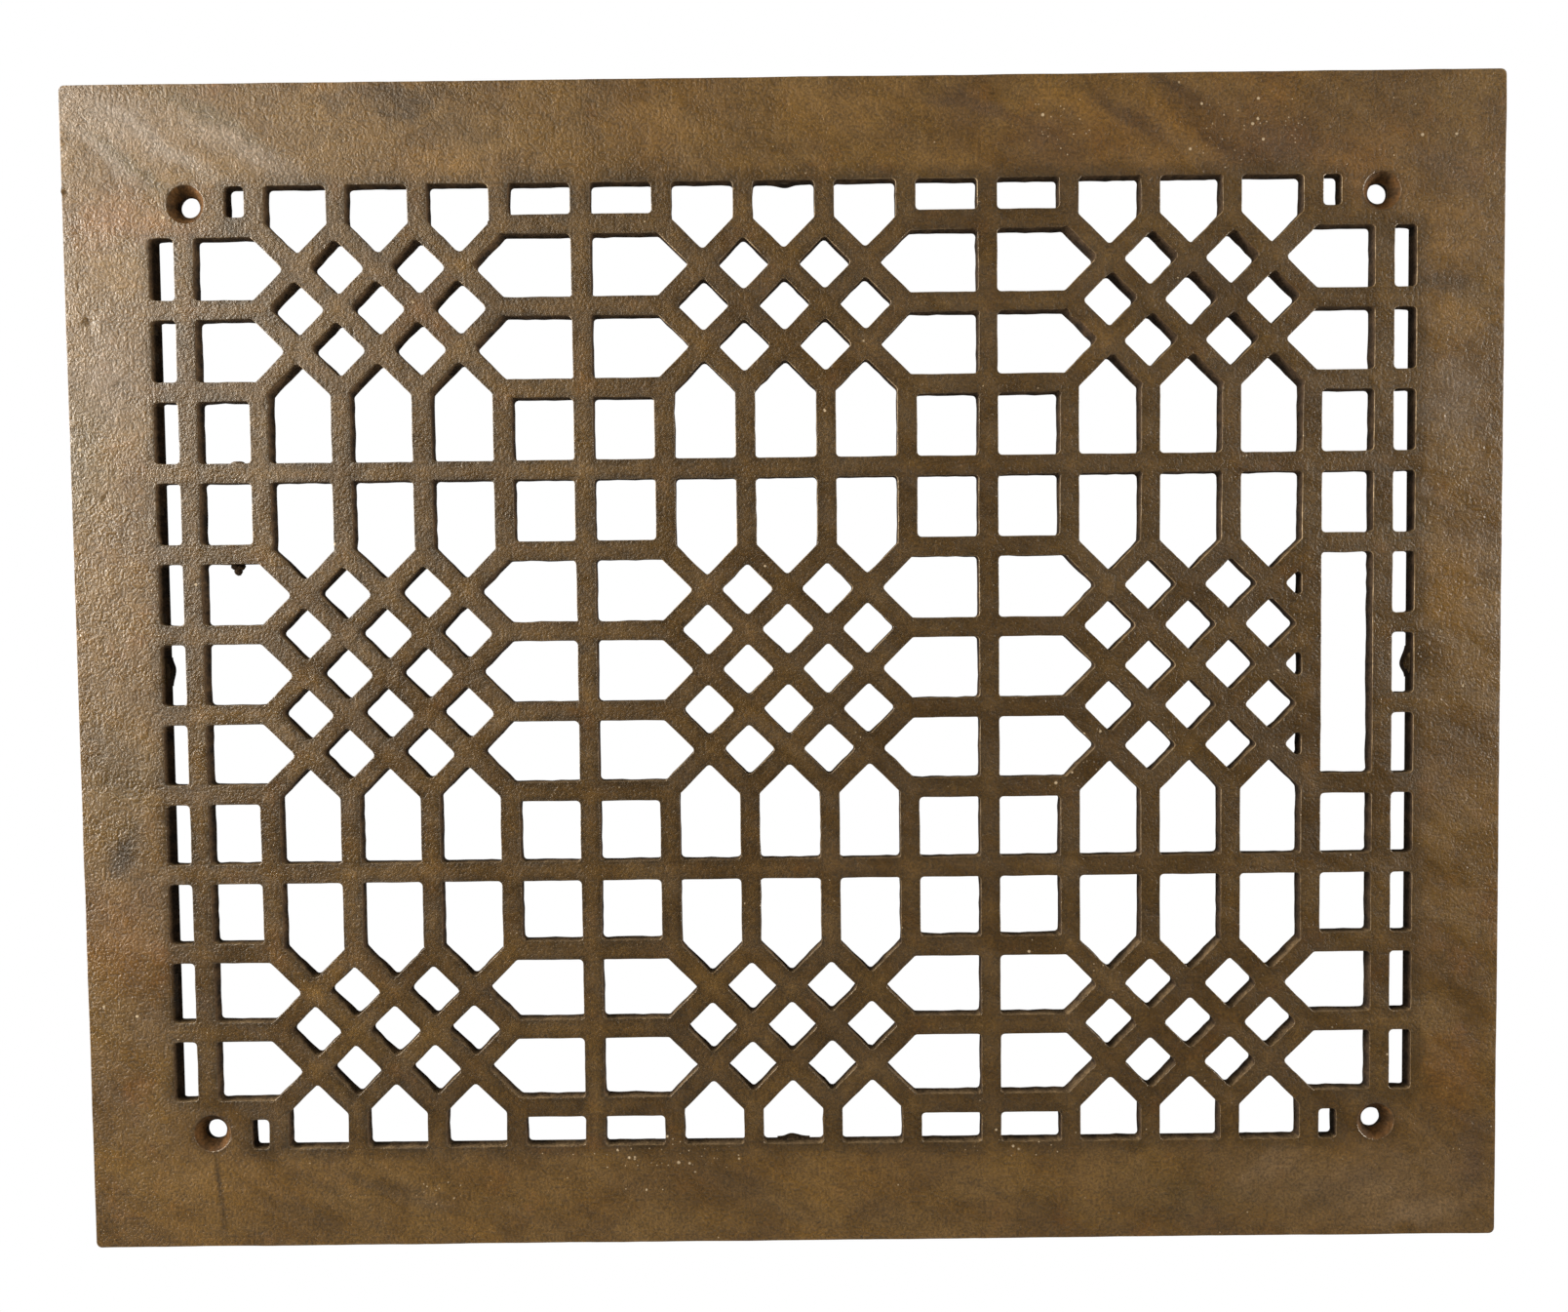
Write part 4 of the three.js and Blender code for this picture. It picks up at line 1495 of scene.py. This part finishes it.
    def _roughen_back(self, piece: bpy.types.Object) -> None:
        """Slopes some walls, makes the back edges less even than the front ones and sinks the pits.

        Args:
            piece: The plate, in edit mode.
        """
        outwards = {
            (round(float(x), 3), round(float(z), 3)): way
            for loop in self.plan.loops if not loop.is_edge
            for (x, z), way in zip(loop.points, loop.outwards)
        }
        mesh = bmesh.from_edit_mesh(piece.data)
        for vert in mesh.verts:
            x, depth, z = vert.co / MM
            way = outwards.get((round(x, 3), round(z, 3)))
            in_front = depth < -0.5 * self.thickness
            if in_front:
                vert.co.y += sum(pit.dip(x, z) for pit in self.pits) * MM
            if way is not None:
                if in_front:
                    reach = -sum(slope.back(x, z, way) for slope in self.slopes)
                else:
                    reach = self.back_uneven * layered_noise(Vector((x, 40.0, z)), *self.back_waves)
                vert.co.x += way[0] * reach * MM
                vert.co.z += way[1] * reach * MM
        bmesh.update_edit_mesh(piece.data)

    def _select_rim_edges(self, piece: bpy.types.Object, depth: float) -> None:
        """Selects the edges between a flat side of the plate and its walls.

        Args:
            piece: The plate, in edit mode.
            depth: The flat side's depth.
        """
        mesh = bmesh.from_edit_mesh(piece.data)
        for face in mesh.faces:
            face.select_set(False)
        mesh.select_mode = {"EDGE"}
        for edge in mesh.edges:
            level = all(abs(vert.co.y - depth * MM) < EXACT for vert in edge.verts)
            sharp = len(edge.link_faces) == 2 and edge.calc_face_angle() > math.radians(60.0)
            edge.select_set(level and sharp)
        mesh.select_flush_mode()
        bmesh.update_edit_mesh(piece.data)


@dataclass(frozen=True)
class Softbox:
    """One soft square light.

    Args:
        name: Its name.
        place: Where it stands, in metres.
        power: Its power in watts.
        size: Its side.
        aim: The point that it faces.
    """

    name: str
    place: tuple[float, float, float]
    power: float
    size: float = 0.4
    aim: tuple[float, float, float] = (0.0, 0.0, 0.0)

    def light(self) -> None:
        """Adds the light to the scene."""
        data = bpy.data.lights.new(self.name, "AREA")
        data.shape = "SQUARE"
        data.size = self.size
        data.energy = self.power
        lamp = bpy.data.objects.new(self.name, data)
        lamp.location = self.place
        lamp.rotation_euler = (Vector(self.aim) - Vector(self.place)).to_track_quat("-Z", "Y").to_euler()
        lamp.visible_camera = False
        bpy.context.scene.collection.objects.link(lamp)


@dataclass
class Studio:
    """A pale floor, pale air, soft lights and the camera.

    Places are metres and turns are degrees.
    """

    camera_place: tuple = (-0.00071, -0.39163, 0.01937)
    camera_turn: tuple = (87.7252, 0.6464, 0.0639)
    lens: float = 29.1045
    floor_level: float = -1.1
    floor_radius: float = 1.3
    paper: tuple = (0.86, 0.86, 0.85, 1.0)
    fibres: Cloud = Cloud((40.0, 40.0, 40.0), 3.0, 0.5)
    air_light: float = 0.077
    softboxes: tuple[Softbox, ...] = (
        Softbox("left_softbox", (-1.2, -0.15, 0.0), 15.0),
        Softbox("upper_left_softbox", (-1.2, -0.25, 0.35), 13.0),
        Softbox("near_left_softbox", (-0.7, -0.15, 0.3), 4.2),
        Softbox("left_front_softbox", (-0.55, -0.5, 0.35), 3.7),
        Softbox("right_softbox", (1.2, -0.2, 0.1), 21.0),
        Softbox("upper_right_softbox", (0.7, -0.6, 0.5), 0.9),
    )

    def build(self) -> None:
        """Builds the whole studio."""
        self._floor()
        self._air()
        self._camera()
        for softbox in self.softboxes:
            softbox.light()

    def _floor(self) -> None:
        """A round paper floor, well below the grille."""
        clear_selection()
        bpy.ops.mesh.primitive_circle_add(
            vertices=96, radius=self.floor_radius, fill_type="NGON", location=(0.0, 0.0, self.floor_level)
        )
        floor = bpy.context.active_object
        floor.name = "studio_floor"
        bpy.ops.object.transform_apply(location=True, rotation=True, scale=True)
        paper = bpy.data.materials.new("studio_paper")
        sheet = NodeSheet(paper)
        fibres = sheet.cloud(self.fibres)
        sheet.feed(sheet.shader.inputs["Roughness"], sheet.curve(fibres, 0.3, 0.7, 0.85, 0.95))
        sheet.shader.inputs["Base Color"].default_value = self.paper
        sheet.shader.inputs["Specular IOR Level"].default_value = 0.1
        floor.data.materials.append(paper)

    def _air(self) -> None:
        """White air behind everything, which gives little light of its own."""
        world = bpy.data.worlds.new("studio_air")
        world.use_nodes = True
        tree = world.node_tree
        background = tree.nodes["Background"]
        background.inputs["Color"].default_value = (1.0, 1.0, 1.0, 1.0)
        seen = tree.nodes.new("ShaderNodeLightPath").outputs["Is Camera Ray"]
        strength = tree.nodes.new("ShaderNodeMapRange")
        strength.inputs["To Min"].default_value = self.air_light
        strength.inputs["To Max"].default_value = 1.0
        tree.links.new(seen, strength.inputs["Value"])
        tree.links.new(strength.outputs["Result"], background.inputs["Strength"])
        bpy.context.scene.world = world

    def _camera(self) -> None:
        """The camera where the photograph was taken."""
        data = bpy.data.cameras.new("photo_camera")
        data.sensor_fit = "HORIZONTAL"
        data.sensor_width = 36.0
        data.lens = self.lens
        data.clip_start = 0.01
        camera = bpy.data.objects.new("photo_camera", data)
        camera.location = self.camera_place
        camera.rotation_euler = tuple(math.radians(turn) for turn in self.camera_turn)
        bpy.context.scene.collection.objects.link(camera)
        bpy.context.scene.camera = camera
        bpy.context.scene.view_settings.view_transform = "Standard"


def check_mesh(piece: bpy.types.Object) -> None:
    """Logs how sound a piece's mesh is.

    Args:
        piece: The object to look at.
    """
    mesh = bmesh.new()
    mesh.from_mesh(piece.data)
    open_edges = sum(not edge.is_manifold for edge in mesh.edges)
    triangles = sum(len(face.verts) - 2 for face in mesh.faces)
    LOG.info("%s: %d triangles, %d open edges, volume %.2f cm3", piece.name, triangles, open_edges,
             mesh.calc_volume() * 1e6)
    mesh.free()


def main() -> None:
    """Builds the grille and its studio in order."""
    logging.basicConfig(level=logging.INFO, format="%(name)s: %(message)s")
    plan = CastingPlan()
    plan.read(frame["nodes"][NODE])
    LOG.info("plan: %d outlines, %d screws", len(plan.loops), len(plan.screws))
    piece = Casting(plan).build()
    check_mesh(piece)
    Studio().build()
    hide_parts(NODE)
    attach(piece, BODY)


if __name__ == "__main__":
    main()
